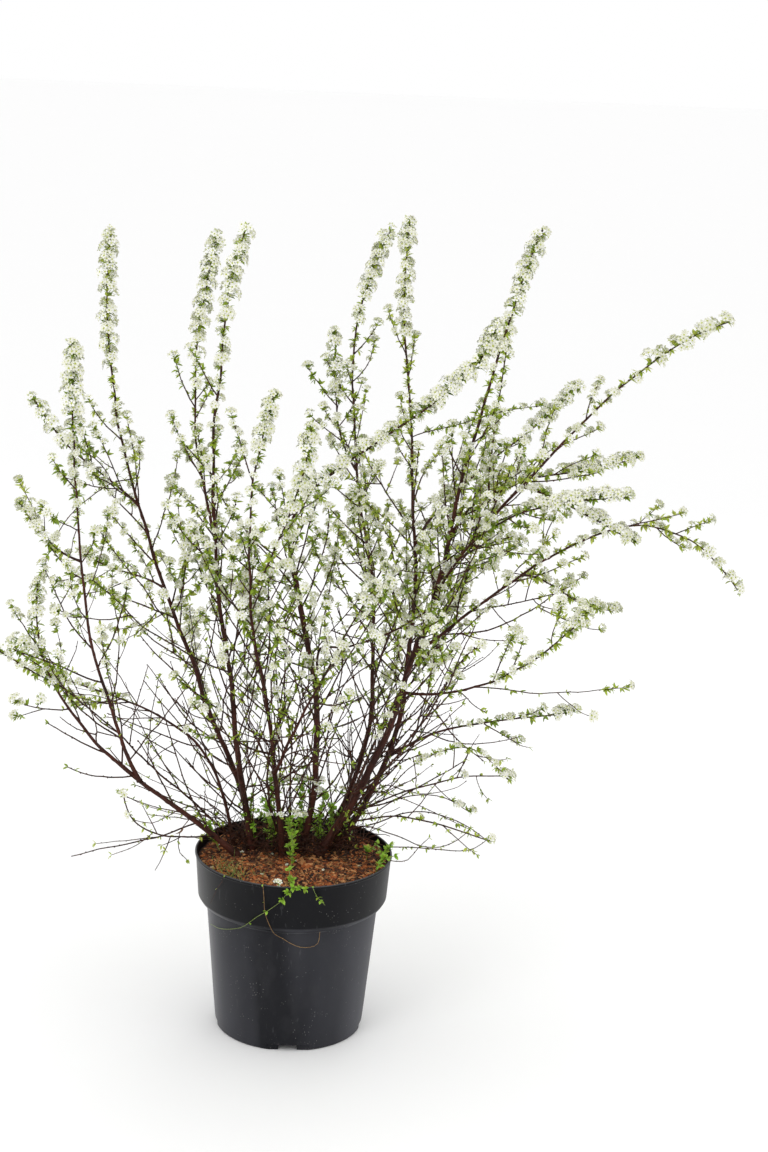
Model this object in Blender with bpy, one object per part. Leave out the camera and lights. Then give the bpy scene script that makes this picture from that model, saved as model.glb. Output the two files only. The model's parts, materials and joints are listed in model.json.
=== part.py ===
# Spirea shrub in spring flower, in a black nursery pot.
# Metres, +Z up, origin at the centre of the pot's underside.
import math
import random

import bmesh
import bpy
import numpy as np
from mathutils import Matrix, Vector

# Pot
POT_HEIGHT = 0.297
RIM_RADIUS = 0.160
COLLAR_HEIGHT = 0.072
COLLAR_FOOT_RADIUS = 0.1535
COLLAR_CHAMFER = 0.013
CHAMFER_BULGE = 0.0039
WALL_TOP_RADIUS = 0.1405
BASE_RADIUS = 0.1207
BASE_EDGE = 0.004
POT_WALL = 0.003
RIM_LIP = 0.0045
RIM_ROUND = 0.0010
FLOOR_THICK = 0.016
COLLAR_STEP = 0.001
POT_SIDES = 44

# Drain channels under the pot: a wide shallow notch in the wall, and a narrow channel behind it
DRAINS = 4
NOTCH_WIDTH = 0.070
NOTCH_DEPTH = 0.007
CHANNEL_WIDTH = 0.030
CHANNEL_LENGTH = 0.062
CHANNEL_HEIGHT = 0.011
DRAIN_HOLE_RADIUS = 0.006
DRAIN_HOLE_SIDES = 12
DRAIN_HOLE_INSET = 0.0132
CUTTER_REACH = 0.040

# Soil
SOIL_LEVEL = 0.289
SOIL_PLATEAU = 0.112
SOIL_EDGE_DROP = 0.008
SOIL_SIDE_GAP = 0.001
SOIL_STEP_GAP = 0.0005
SOIL_STEP_RISE = 0.004

# Clearances
MERGE_DISTANCE = 0.00001
GAP = 0.0003
SEAT_GAP = 0.00035
SPACE_GAP = 0.0006
POT_CLEAR = 0.004

# Wood
FLARE_REACH = 0.018
FLARE_SHARE = 0.35
RING_SPACING = 0.058
BARK_STEP = 0.002
STEM_SIDES = 8
BOUGH_SIDES = 6
TWIG_SIDES = 3
TIP_RADIUS = 0.0010
TAPER_POWER = 0.8
LENGTH_STEPS = 60
SIDEWAYS = Vector((0.31, 0.22, 0.92))

# Foliage and blossom, larger than life so that few faces fill the crown
UMBEL_WIDTH = 0.030
UMBEL_RISE = 0.0075
UMBEL_ROOT = 0.0085
ROOT_SINK = 0.0004
LEAF_LENGTH = 0.024
LEAF_WIDTH = 0.011
LEAF_THICK = 0.0012
SLEEVE_SPACING = 0.0210
OPEN_SPACING = 0.034
TWIG_LENGTH = 0.055
SPRAY_TWIG_LENGTH = 0.085
TWIG_RADIUS = 0.0014
STRAIGHT_TWIG = 0.055
LEAF_FROM = 0.036
GOLDEN_TURN = math.radians(137.5)
SLEEVE_LEAN = math.radians(72)
LEAF_LEAN = math.radians(55)
TWIG_LEAN = math.radians(57)
TIP_SINK = 0.002
TWIG_CHANCE = 0.50
HEAD_CHANCE = 0.25
TIP_HEAD_CHANCE = 0.72
OPEN_HEAD_SIZE = 0.85
OPEN_LEAF_SIZE = 0.95
TIP_LEAF_SIZE = 0.90
TIP_HEAD_SIZE = 0.75
TWIG_RISE = Vector((0, 0, 0.45))
FIRST_SHOOT = 0.012
FIRST_SPRAY_SHOOT = 0.030
SEED = 12

# Limbs, each one smooth bend from its foot on the soil, or from a place on its parent, to its tip.
# lift is the way it sets off, droop the way back from its tip, and thick its width at the foot.
# It is bare wood up to the share named leafy, and blossom and leaves from there on;
# sleeve is the share of that leafy length, from the tip down, that blossom covers thickly.
LIMBS = {
    "far_left": dict(
        foot=(-0.095, -0.002), lift=(-0.150, -0.020, 0.140), tip=(-0.400, -0.120, 0.760),
        droop=(-0.025, 0.055, -0.250), thick=0.013, leafy=0.72, sleeve=0.35, twig=0.065,
    ),
    "low_left": dict(
        foot=(-0.100, 0.045), lift=(-0.050, 0.040, 0.290), tip=(-0.480, 0.160, 0.585),
        droop=(0.155, -0.050, -0.125), thick=0.007, leafy=0.55, sleeve=0.10, twig=0.075,
    ),
    "left_arch": dict(
        parent="far_left", at=0.34, lift=(-0.105, -0.050, 0.230), tip=(-0.335, -0.260, 1.145),
        droop=(0.000, 0.100, -0.230), thick=0.008, leafy=0.60, sleeve=0.55,
    ),
    "left": dict(
        foot=(-0.062, 0.060), lift=(-0.110, 0.015, 0.330), tip=(-0.320, 0.140, 1.270),
        droop=(-0.030, -0.035, -0.370), thick=0.013, leafy=0.60, sleeve=0.50, twig=0.070,
    ),
    "left_fork": dict(
        parent="left", at=0.58, lift=(-0.040, -0.020, 0.045), tip=(-0.425, 0.020, 1.020),
        droop=(0.060, 0.010, -0.105), thick=0.0055, leafy=0.35, sleeve=0.60,
    ),
    "middle_left": dict(
        foot=(-0.070, 0.022), lift=(-0.050, -0.015, 0.330), tip=(-0.100, -0.060, 1.305),
        droop=(-0.090, 0.035, -0.335), thick=0.015, leafy=0.58, sleeve=0.55,
    ),
    "back_left": dict(
        parent="middle_left", at=0.52, lift=(-0.050, 0.070, 0.115), tip=(-0.155, 0.200, 1.265),
        droop=(-0.035, -0.060, -0.150), thick=0.006, leafy=0.22, sleeve=0.65,
    ),
    "front_left": dict(
        foot=(-0.020, 0.002), lift=(-0.015, -0.040, 0.290), tip=(-0.050, -0.240, 1.080),
        droop=(-0.080, 0.115, -0.305), thick=0.012, leafy=0.66, sleeve=0.35, twig=0.070,
    ),
    "front_fork": dict(
        parent="front_left", at=0.60, lift=(0.030, -0.060, 0.060), tip=(0.005, -0.340, 1.050),
        droop=(-0.010, 0.080, -0.120), thick=0.005, leafy=0.0, sleeve=0.40, twig=0.065,
    ),
    "front_right": dict(
        parent="front_left", at=0.18, lift=(0.020, -0.075, 0.060), tip=(0.110, -0.180, 0.790),
        droop=(-0.070, 0.030, -0.130), thick=0.008, leafy=0.55, sleeve=0.35, twig=0.085,
    ),
    "centre": dict(
        foot=(0.012, 0.030), lift=(0.045, -0.005, 0.175), tip=(-0.020, 0.000, 0.795),
        droop=(0.035, 0.010, -0.170), thick=0.014, tip_thick=0.008, leafy=1.0, sleeve=0.0,
    ),
    "centre_bow": dict(
        parent="centre", at=1.0, lift=(-0.030, -0.015, 0.150), tip=(0.270, -0.180, 1.185),
        droop=(-0.035, 0.070, -0.170), thick=0.0075, leafy=0.0, sleeve=0.75,
    ),
    "right": dict(
        foot=(0.042, 0.010), lift=(0.200, 0.015, 0.305), tip=(0.355, 0.080, 1.305),
        droop=(-0.135, -0.030, -0.335), thick=0.019, leafy=0.66, sleeve=0.60,
    ),
    "right_back": dict(
        foot=(0.070, 0.042), lift=(0.210, 0.045, 0.295), tip=(0.155, 0.260, 1.295),
        droop=(-0.030, -0.080, -0.320), thick=0.014, leafy=0.58, sleeve=0.45, twig=0.065,
    ),
    "far_right": dict(
        parent="right", at=0.47, lift=(0.100, -0.025, 0.110), tip=(0.635, -0.040, 1.185),
        droop=(-0.180, 0.030, -0.085), thick=0.008, leafy=0.52, sleeve=0.55,
    ),
    "right_outer": dict(
        parent="right_back", at=0.50, lift=(0.045, 0.050, 0.090), tip=(0.460, 0.360, 1.020),
        droop=(-0.080, -0.075, -0.085), thick=0.006, leafy=0.35, sleeve=0.55,
    ),
    "level_back": dict(
        parent="right", at=0.53, lift=(0.055, 0.060, 0.110), tip=(0.555, 0.240, 0.920),
        droop=(-0.120, -0.070, -0.035), thick=0.006, leafy=0.35, sleeve=0.60,
    ),
    "level_front": dict(
        parent="right", at=0.42, lift=(0.050, -0.090, 0.165), tip=(0.475, -0.200, 0.940),
        droop=(-0.150, 0.090, -0.035), thick=0.006, leafy=0.35, sleeve=0.60,
    ),
    "level_tip": dict(
        parent="far_right", at=0.36, lift=(0.050, -0.050, -0.005), tip=(0.500, -0.130, 0.855),
        droop=(-0.055, 0.020, 0.030), thick=0.0045, leafy=0.0, sleeve=0.50,
    ),
    "arching": dict(
        parent="right", at=0.34, lift=(0.160, 0.015, 0.130), tip=(0.715, 0.100, 0.725),
        droop=(-0.180, -0.030, 0.245), thick=0.007, leafy=0.42, sleeve=0.22,
    ),
    "arching_fork": dict(
        parent="arching", at=0.33, lift=(0.060, 0.050, -0.015), tip=(0.530, 0.200, 0.665),
        droop=(-0.075, -0.055, 0.005), thick=0.0045, leafy=0.0, sleeve=0.25, twig=0.065,
    ),
    "low_front": dict(
        parent="right", at=0.28, lift=(0.110, -0.090, 0.020), tip=(0.410, -0.300, 0.790),
        droop=(-0.035, 0.100, -0.110), thick=0.006, leafy=0.40, sleeve=0.30, twig=0.080,
    ),
    "low_right": dict(
        parent="right_back", at=0.16, lift=(0.110, 0.050, 0.060), tip=(0.475, 0.220, 0.480),
        droop=(-0.105, -0.055, -0.010), thick=0.006, leafy=0.35, sleeve=0.30, twig=0.075,
    ),
    "back": dict(
        foot=(0.048, 0.075), lift=(0.200, 0.065, 0.315), tip=(0.130, 0.380, 1.270),
        droop=(-0.170, -0.115, -0.315), thick=0.012, leafy=0.64, sleeve=0.50,
    ),
    "back_fork": dict(
        parent="back", at=0.60, lift=(-0.045, 0.015, 0.050), tip=(0.040, 0.300, 1.105),
        droop=(0.005, -0.020, -0.090), thick=0.0045, leafy=0.0, sleeve=0.45,
    ),
    "upright": dict(
        parent="level_back", at=0.28, lift=(-0.005, 0.040, 0.075), tip=(0.325, 0.250, 1.130),
        droop=(-0.005, -0.040, -0.080), thick=0.004, leafy=0.0, sleeve=0.20,
    ),
    "lowest_front": dict(
        parent="right", at=0.05, lift=(0.080, -0.060, 0.060), tip=(0.300, -0.180, 0.390),
        droop=(-0.085, 0.055, 0.010), thick=0.004, leafy=0.0, sleeve=0.0, twig=0.065,
    ),
    "lowest_right": dict(
        parent="right_back", at=0.07, lift=(0.095, 0.030, 0.035), tip=(0.360, 0.140, 0.385),
        droop=(-0.075, -0.030, 0.015), thick=0.004, leafy=0.0, sleeve=0.25, twig=0.065,
    ),
    "lowest_left": dict(
        parent="far_left", at=0.07, lift=(-0.050, -0.070, 0.030), tip=(-0.260, -0.200, 0.455),
        droop=(0.010, 0.050, -0.100), thick=0.004, leafy=0.0, sleeve=0.0, twig=0.060,
    ),
}

# Side sprays in the middle of the crown: parent, place on it, heading and rise in degrees, length
SPRAYS = {
    "spray_left_front": ("left", 0.40, -70, 60, 0.19),
    "spray_left_back": ("left", 0.44, 150, 12, 0.17),
    "spray_left_high": ("left_arch", 0.52, 190, 45, 0.13),
    "spray_low_back": ("left", 0.17, 112, 42, 0.27),
    "spray_low_front": ("front_left", 0.22, 222, 35, 0.20),
    "spray_centre": ("centre", 0.72, 205, 38, 0.17),
    "spray_back_high": ("back", 0.40, 105, 45, 0.20),
    "spray_back_low": ("back", 0.22, 66, 38, 0.26),
    "spray_right_front": ("right", 0.37, 235, 50, 0.18),
    "spray_right_back": ("right_back", 0.27, 48, 48, 0.24),
}
SPRAY_THICK = 0.0042
SPRAY_SLEEVE = 0.35
SPRAY_HANDLE = 0.30
SPRAY_BEND = 0.10

STEM_COLOUR = (0.075, 0.030, 0.022, 1)
BLOSSOM_COLOUR = (0.78, 0.80, 0.68, 1)
POT_COLOUR = (0.022, 0.023, 0.027, 1)
SOIL_COLOUR = (0.115, 0.045, 0.028, 1)


def clear_scene():
    for obj in list(bpy.data.objects):
        bpy.data.objects.remove(obj, do_unlink=True)


def material(name, colour, roughness):
    made = bpy.data.materials.new(name)
    made.use_nodes = True
    shader = made.node_tree.nodes["Principled BSDF"]
    shader.inputs["Base Color"].default_value = colour
    shader.inputs["Roughness"].default_value = roughness
    shader.inputs["Metallic"].default_value = 0
    return made


def object_from(bm, name):
    mesh = bpy.data.meshes.new(name)
    bm.to_mesh(mesh)
    bm.free()
    obj = bpy.data.objects.new(name, mesh)
    bpy.context.scene.collection.objects.link(obj)
    return obj


def finish(obj, colour, roughness, smooth_degrees):
    obj.data.materials.clear()
    obj.data.materials.append(material(obj.name, colour, roughness))
    obj.data.shade_smooth()
    obj.data.set_sharp_from_angle(angle=math.radians(smooth_degrees))


def turned(profile, name):
    """A solid turned round Z from (radius, height) points that start and end on the axis."""
    bm = bmesh.new()
    points = [bm.verts.new((radius, 0, height)) for radius, height in profile]
    edges = [bm.edges.new(pair) for pair in zip(points, points[1:])]
    bmesh.ops.spin(
        bm, geom=points + edges, cent=(0, 0, 0), axis=(0, 0, 1),
        angle=math.tau, steps=POT_SIDES, use_merge=True,
    )
    bmesh.ops.remove_doubles(bm, verts=bm.verts, dist=MERGE_DISTANCE)
    bmesh.ops.recalc_face_normals(bm, faces=bm.faces)
    return object_from(bm, name)


def box_cutter(length, width, height, centre, turn):
    bm = bmesh.new()
    bmesh.ops.create_cube(bm, size=1)
    bmesh.ops.scale(bm, vec=(length, width, height), verts=bm.verts)
    bmesh.ops.translate(bm, vec=centre, verts=bm.verts)
    bmesh.ops.rotate(bm, cent=(0, 0, 0), matrix=Matrix.Rotation(turn, 3, "Z"), verts=bm.verts)
    return object_from(bm, "drain_cutter")


def hole_cutter(distance, turn):
    bm = bmesh.new()
    bmesh.ops.create_cone(
        bm, cap_ends=True, segments=DRAIN_HOLE_SIDES, radius1=DRAIN_HOLE_RADIUS,
        radius2=DRAIN_HOLE_RADIUS, depth=4 * FLOOR_THICK,
    )
    bmesh.ops.translate(bm, vec=(distance, 0, 0), verts=bm.verts)
    bmesh.ops.rotate(bm, cent=(0, 0, 0), matrix=Matrix.Rotation(turn, 3, "Z"), verts=bm.verts)
    return object_from(bm, "hole_cutter")


def wall_radius(height):
    """Outer radius of the tapered wall under the collar."""
    return BASE_RADIUS + (WALL_TOP_RADIUS - BASE_RADIUS) * height / (POT_HEIGHT - COLLAR_HEIGHT)


def inner_radius(height):
    """Inner radius of the pot, which steps out where the collar begins."""
    collar_foot = POT_HEIGHT - COLLAR_HEIGHT
    if height < collar_foot:
        return wall_radius(height) - POT_WALL
    share = (height - collar_foot) / COLLAR_HEIGHT
    return COLLAR_FOOT_RADIUS - POT_WALL + (RIM_RADIUS - COLLAR_FOOT_RADIUS) * share


def make_pot():
    collar_foot = POT_HEIGHT - COLLAR_HEIGHT
    outside = [
        (0, 0),
        (BASE_RADIUS - BASE_EDGE, 0),
        (BASE_RADIUS, BASE_EDGE),
        (wall_radius(collar_foot - COLLAR_CHAMFER), collar_foot - COLLAR_CHAMFER),
        (COLLAR_FOOT_RADIUS - CHAMFER_BULGE, collar_foot - COLLAR_CHAMFER / 2),
        (COLLAR_FOOT_RADIUS, collar_foot),
        (RIM_RADIUS - RIM_ROUND, POT_HEIGHT - RIM_LIP),
        (RIM_RADIUS, POT_HEIGHT - RIM_LIP / 2),
        (RIM_RADIUS - RIM_ROUND, POT_HEIGHT),
    ]
    inside = [
        (inner_radius(POT_HEIGHT), POT_HEIGHT),
        (inner_radius(collar_foot), collar_foot),
        (inner_radius(collar_foot - COLLAR_STEP), collar_foot - COLLAR_CHAMFER),
        (inner_radius(FLOOR_THICK), FLOOR_THICK),
        (0, FLOOR_THICK),
    ]
    pot = turned(outside + inside, "pot")
    cutters = bpy.data.collections.new("drain_cutters")
    for index in range(DRAINS):
        turn = index * math.tau / DRAINS - math.pi / 2
        notch_at = BASE_RADIUS - NOTCH_DEPTH
        channel_from = BASE_RADIUS - CHANNEL_LENGTH
        channel_cut = CHANNEL_LENGTH + CUTTER_REACH
        notch_middle = (notch_at + CUTTER_REACH / 2, 0, 0)
        channel_middle = (channel_from + channel_cut / 2, 0, 0)
        pieces = (
            box_cutter(CUTTER_REACH, NOTCH_WIDTH, 2 * CHANNEL_HEIGHT, notch_middle, turn),
            box_cutter(channel_cut, CHANNEL_WIDTH, 2 * CHANNEL_HEIGHT + COLLAR_STEP, channel_middle, turn),
            hole_cutter(channel_from + DRAIN_HOLE_INSET, turn),
        )
        for piece in pieces:
            bpy.context.scene.collection.objects.unlink(piece)
            cutters.objects.link(piece)
    join(pot, cutters, "DIFFERENCE", "EXACT")
    finish(pot, POT_COLOUR, 0.42, 30)


def make_soil():
    edge_level = SOIL_LEVEL - SOIL_EDGE_DROP
    collar_foot = POT_HEIGHT - COLLAR_HEIGHT
    below_step = collar_foot - COLLAR_CHAMFER + SOIL_STEP_GAP
    above_step = collar_foot + SOIL_STEP_RISE
    profile = [
        (0, FLOOR_THICK + GAP),
        (inner_radius(FLOOR_THICK) - SOIL_SIDE_GAP, FLOOR_THICK + GAP),
        (inner_radius(collar_foot - COLLAR_STEP) - SOIL_SIDE_GAP, below_step),
        (inner_radius(above_step) - SOIL_SIDE_GAP, above_step),
        (inner_radius(edge_level) - SOIL_SIDE_GAP, edge_level),
        (SOIL_PLATEAU, SOIL_LEVEL),
        (0, SOIL_LEVEL),
    ]
    soil = turned(profile, "soil")
    finish(soil, SOIL_COLOUR, 0.95, 20)


def join(obj, collection, operation, solver):
    """One Boolean with every object of the collection, applied, with those objects then removed."""
    boolean = obj.modifiers.new("join", "BOOLEAN")
    boolean.operation = operation
    boolean.operand_type = "COLLECTION"
    boolean.collection = collection
    boolean.solver = solver
    bpy.context.view_layer.update()
    evaluated = obj.evaluated_get(bpy.context.evaluated_depsgraph_get())
    joined = bpy.data.meshes.new_from_object(evaluated)
    obj.modifiers.clear()
    obj.data = joined
    for piece in list(collection.objects):
        bpy.data.objects.remove(piece, do_unlink=True)
    bpy.data.collections.remove(collection)


class Limb:
    """The centre line of a stem, bough, wand or spray, with its width along it."""

    def __init__(self, name, spec):
        self.name = name
        self.spec = spec
        self.parent = LIMB_LINES.get(spec.get("parent"))
        if self.parent:
            start = self.parent.point(spec["at"])
        else:
            start = Vector((*spec["foot"], SOIL_LEVEL + GAP))
        tip = Vector(spec["tip"])
        self.corners = (start, start + Vector(spec["lift"]), tip + Vector(spec["droop"]), tip)
        self.base_radius = spec["thick"] / 2
        self.tip_radius = spec.get("tip_thick", 2 * TIP_RADIUS) / 2
        self.rings = []
        line = [self.point(step / LENGTH_STEPS) for step in range(LENGTH_STEPS + 1)]
        self.length = sum((b - a).length for a, b in zip(line, line[1:]))

    def point(self, share):
        start, first, second, tip = self.corners
        rest = 1 - share
        near = start * rest**3 + first * (3 * rest * rest * share)
        return near + second * (3 * rest * share * share) + tip * share**3

    def way(self, share):
        start, first, second, tip = self.corners
        rest = 1 - share
        slope = (first - start) * rest**2 + (second - first) * (2 * rest * share)
        return (slope + (tip - second) * share**2).normalized()

    def radius(self, share):
        plain = self.base_radius + (self.tip_radius - self.base_radius) * share**TAPER_POWER
        if self.parent:
            return plain
        return plain * (1 + FLARE_SHARE * math.exp(-share * self.length / FLARE_REACH))

    def samples(self, first, last, spacing=0.004):
        """Points and radii along a stretch, as arrays."""
        count = max(2, int((last - first) * self.length / spacing))
        shares = [first + (last - first) * index / count for index in range(count + 1)]
        points = np.array([self.point(share) for share in shares])
        return points, np.array([self.radius(share) for share in shares])


LIMB_LINES = {}


def square_frame(way):
    """Two unit vectors square to a direction."""
    side = way.cross(SIDEWAYS)
    if side.length < 0.2:
        side = way.cross(Vector((1, 0, 0)))
    side.normalize()
    return side, way.cross(side).normalized()


def carried_frame(side, way):
    """The frame of the next ring along, turned as little as possible."""
    side = (side - way * side.dot(way)).normalized()
    return side, way.cross(side).normalized()


def ring(bm, centre, way, frame, radius, sides, plane=None):
    """Corners of one ring. With a plane (point, normal) they slide along the limb until they lie in it."""
    corners = []
    for index in range(sides):
        angle = math.tau * index / sides
        corner = centre + frame[0] * (radius * math.cos(angle)) + frame[1] * (radius * math.sin(angle))
        if plane:
            corner = corner + way * ((plane[0] - corner).dot(plane[1]) / way.dot(plane[1]))
        corners.append(bm.verts.new(corner))
    return corners


def tube(stations, sides, start_plane=None):
    """A closed tapering tube through (centre, direction, radius) stations."""
    bm = bmesh.new()
    frame = square_frame(stations[0][1])
    rings = []
    for index, (centre, way, radius) in enumerate(stations):
        frame = carried_frame(frame[0], way)
        plane = start_plane if index == 0 else None
        rings.append(ring(bm, centre, way, frame, radius, sides, plane))
    for low, high in zip(rings, rings[1:]):
        for index in range(sides):
            after = (index + 1) % sides
            bm.faces.new((low[index], low[after], high[after], high[index]))
    bm.faces.new(rings[0][::-1])
    bm.faces.new(rings[-1])
    bmesh.ops.recalc_face_normals(bm, faces=bm.faces)
    return bm


def bark_line(rings):
    """Points, directions and radii close together on the straight pieces between a limb's rings."""
    points, ways, radii = [], [], []
    for low, high in zip(rings, rings[1:]):
        count = max(1, int((high[0] - low[0]).length / BARK_STEP))
        for index in range(count):
            share = index / count
            points.append(low[0].lerp(high[0], share))
            ways.append((high[0] - low[0]).normalized())
            radii.append(low[2] + (high[2] - low[2]) * share)
    return np.array(points), ways, radii


def side_start(limb):
    """Where a limb leaves its parent's bark: its first plain ring's share, its cap's centre and plane."""
    points, ways, radii = bark_line(limb.parent.rings)
    share = 0.0
    start = None
    while True:
        here = limb.point(share)
        apart = np.linalg.norm(points - np.array(here), axis=1)
        nearest = int(apart.argmin())
        bark = radii[nearest] + SEAT_GAP
        if start is None and apart[nearest] >= bark:
            start = here
            seat = nearest
        if apart[nearest] >= bark + limb.radius(share) + SPACE_GAP:
            break
        share += 0.001
    foot = Vector(points[seat])
    normal = start - foot
    normal = (normal - ways[seat] * normal.dot(ways[seat])).normalized()
    return share, start, (foot + normal * (radii[seat] + SEAT_GAP), normal)


def stations_of(limb, first, last):
    count = max(3, round((last - first) * limb.length / RING_SPACING))
    shares = [first + (last - first) * index / count for index in range(count + 1)]
    return [(limb.point(share), limb.way(share), limb.radius(share)) for share in shares]


def limb_stations(limb, first, last):
    """Rings of a limb between two shares of its length, and the plane of the first where it isn't square."""
    if first > 0 or limb.spec.get("at") == 1:
        return stations_of(limb, first + GAP / limb.length, last), None
    if limb.parent:
        first, start, plane = side_start(limb)
        stations = stations_of(limb, first, last)
        stations.insert(0, (start, limb.way(first), limb.radius(first)))
        return stations, plane
    stations = stations_of(limb, 0, last)
    flare_top = FLARE_REACH / limb.length
    stations.insert(1, (limb.point(flare_top), limb.way(flare_top), limb.radius(flare_top)))
    return stations, (limb.corners[0], Vector((0, 0, 1)))


def spray_spec(parent, at, heading, rise, length):
    """A spray sets off outwards from its parent and bends up a little."""
    flat = math.radians(heading)
    climb = math.radians(rise)
    out = Vector((math.cos(flat), math.sin(flat), 0))
    way = out * math.cos(climb) + Vector((0, 0, math.sin(climb)))
    start = LIMB_LINES[parent].point(at)
    tip = start + way * length
    bend = Vector((0, 0, SPRAY_BEND * length))
    return dict(
        parent=parent, at=at, lift=out * (SPRAY_HANDLE * length) + bend, tip=tip,
        droop=-way * (SPRAY_HANDLE * length) - bend, thick=SPRAY_THICK, leafy=0.0,
        sleeve=SPRAY_SLEEVE, twig=SPRAY_TWIG_LENGTH,
    )


def lay_out_limbs():
    for name, spec in LIMBS.items():
        LIMB_LINES[name] = Limb(name, spec)
    for name, numbers in SPRAYS.items():
        LIMB_LINES[name] = Limb(name, spray_spec(*numbers))


def make_wood():
    for name, limb in LIMB_LINES.items():
        if limb.spec["leafy"] == 0:
            continue
        kind = "bough" if limb.parent else "stem"
        sides = BOUGH_SIDES if limb.parent else STEM_SIDES
        limb.rings, foot_plane = limb_stations(limb, 0, limb.spec["leafy"])
        wood = object_from(tube(limb.rings, sides, foot_plane), f"{kind}_{name}")
        finish(wood, STEM_COLOUR, 0.7, 50)


class Space:
    """What is taken up round a mass: bare wood, and the centre lines of the other masses."""

    def __init__(self):
        self.wood_points = []
        self.wood_radii = []
        self.line_points = []
        self.line_owner = []
        for index, limb in enumerate(LIMB_LINES.values()):
            leafy = limb.spec["leafy"]
            if leafy > 0:
                points, radii = limb.samples(0, leafy)
                self.wood_points.append(points)
                self.wood_radii.append(radii)
            if leafy < 1:
                points, _ = limb.samples(leafy, 1)
                self.line_points.append(points)
                self.line_owner.append(np.full(len(points), index))
        self.wood_points = np.concatenate(self.wood_points)
        self.wood_radii = np.concatenate(self.wood_radii)
        self.line_points = np.concatenate(self.line_points)
        self.line_owner = np.concatenate(self.line_owner)

    def free(self, owner, place, reach):
        """Whether a ball at place stays in the owner's space, clear of wood, pot and soil."""
        spot = np.array(place)
        if np.min(np.linalg.norm(self.wood_points - spot, axis=1) - self.wood_radii) < reach + SPACE_GAP:
            return False
        away = np.linalg.norm(self.line_points - spot, axis=1)
        own = away[self.line_owner == owner].min()
        other = away[self.line_owner != owner].min()
        if own + 2 * reach + SPACE_GAP > other:
            return False
        above_pot = place.z - reach > POT_HEIGHT + POT_CLEAR
        beside_pot = math.hypot(place.x, place.y) - reach > RIM_RADIUS + POT_CLEAR
        return above_pot or beside_pot


def blade(corners, name):
    """An eight-faced solid with a root, a tip and four corners round its middle."""
    bm = bmesh.new()
    root, tip, *middle = [bm.verts.new(corner) for corner in corners]
    for index in range(4):
        after = (index + 1) % 4
        bm.faces.new((root, middle[index], middle[after]))
        bm.faces.new((tip, middle[after], middle[index]))
    bmesh.ops.recalc_face_normals(bm, faces=bm.faces)
    return object_from(bm, name)


def leaf(root, way, up, size):
    side = way.cross(up).normalized()
    face = side.cross(way).normalized()
    middle = root + way * (0.55 * LEAF_LENGTH * size)
    half_width = side * (0.5 * LEAF_WIDTH * size)
    half_thick = face * (0.5 * LEAF_THICK)
    corners = (
        root - way * ROOT_SINK,
        root + way * (LEAF_LENGTH * size),
        middle + half_width,
        middle + half_thick,
        middle - half_width,
        middle - half_thick,
    )
    return blade(corners, "leaf")


def umbel(root, way, size, spin):
    """A flat-topped head of blossom that stands out of the twig."""
    side, across = square_frame(way)
    turned_side = side * math.cos(spin) + across * math.sin(spin)
    turned_across = way.cross(turned_side)
    rim = root + way * (UMBEL_ROOT * size)
    half = 0.5 * UMBEL_WIDTH * size
    corners = (
        root - way * ROOT_SINK,
        rim + way * (UMBEL_RISE * size),
        rim + turned_side * half,
        rim + turned_across * half,
        rim - turned_side * half,
        rim - turned_across * half,
    )
    return blade(corners, "umbel")


def round_way(limb, share, turn, lean):
    """A direction out of a limb: turn is the angle round it, lean the angle from its own direction."""
    way = limb.way(share)
    side, across = square_frame(way)
    out = side * math.cos(turn) + across * math.sin(turn)
    return (way * math.cos(lean) + out * math.sin(lean)).normalized()


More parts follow.
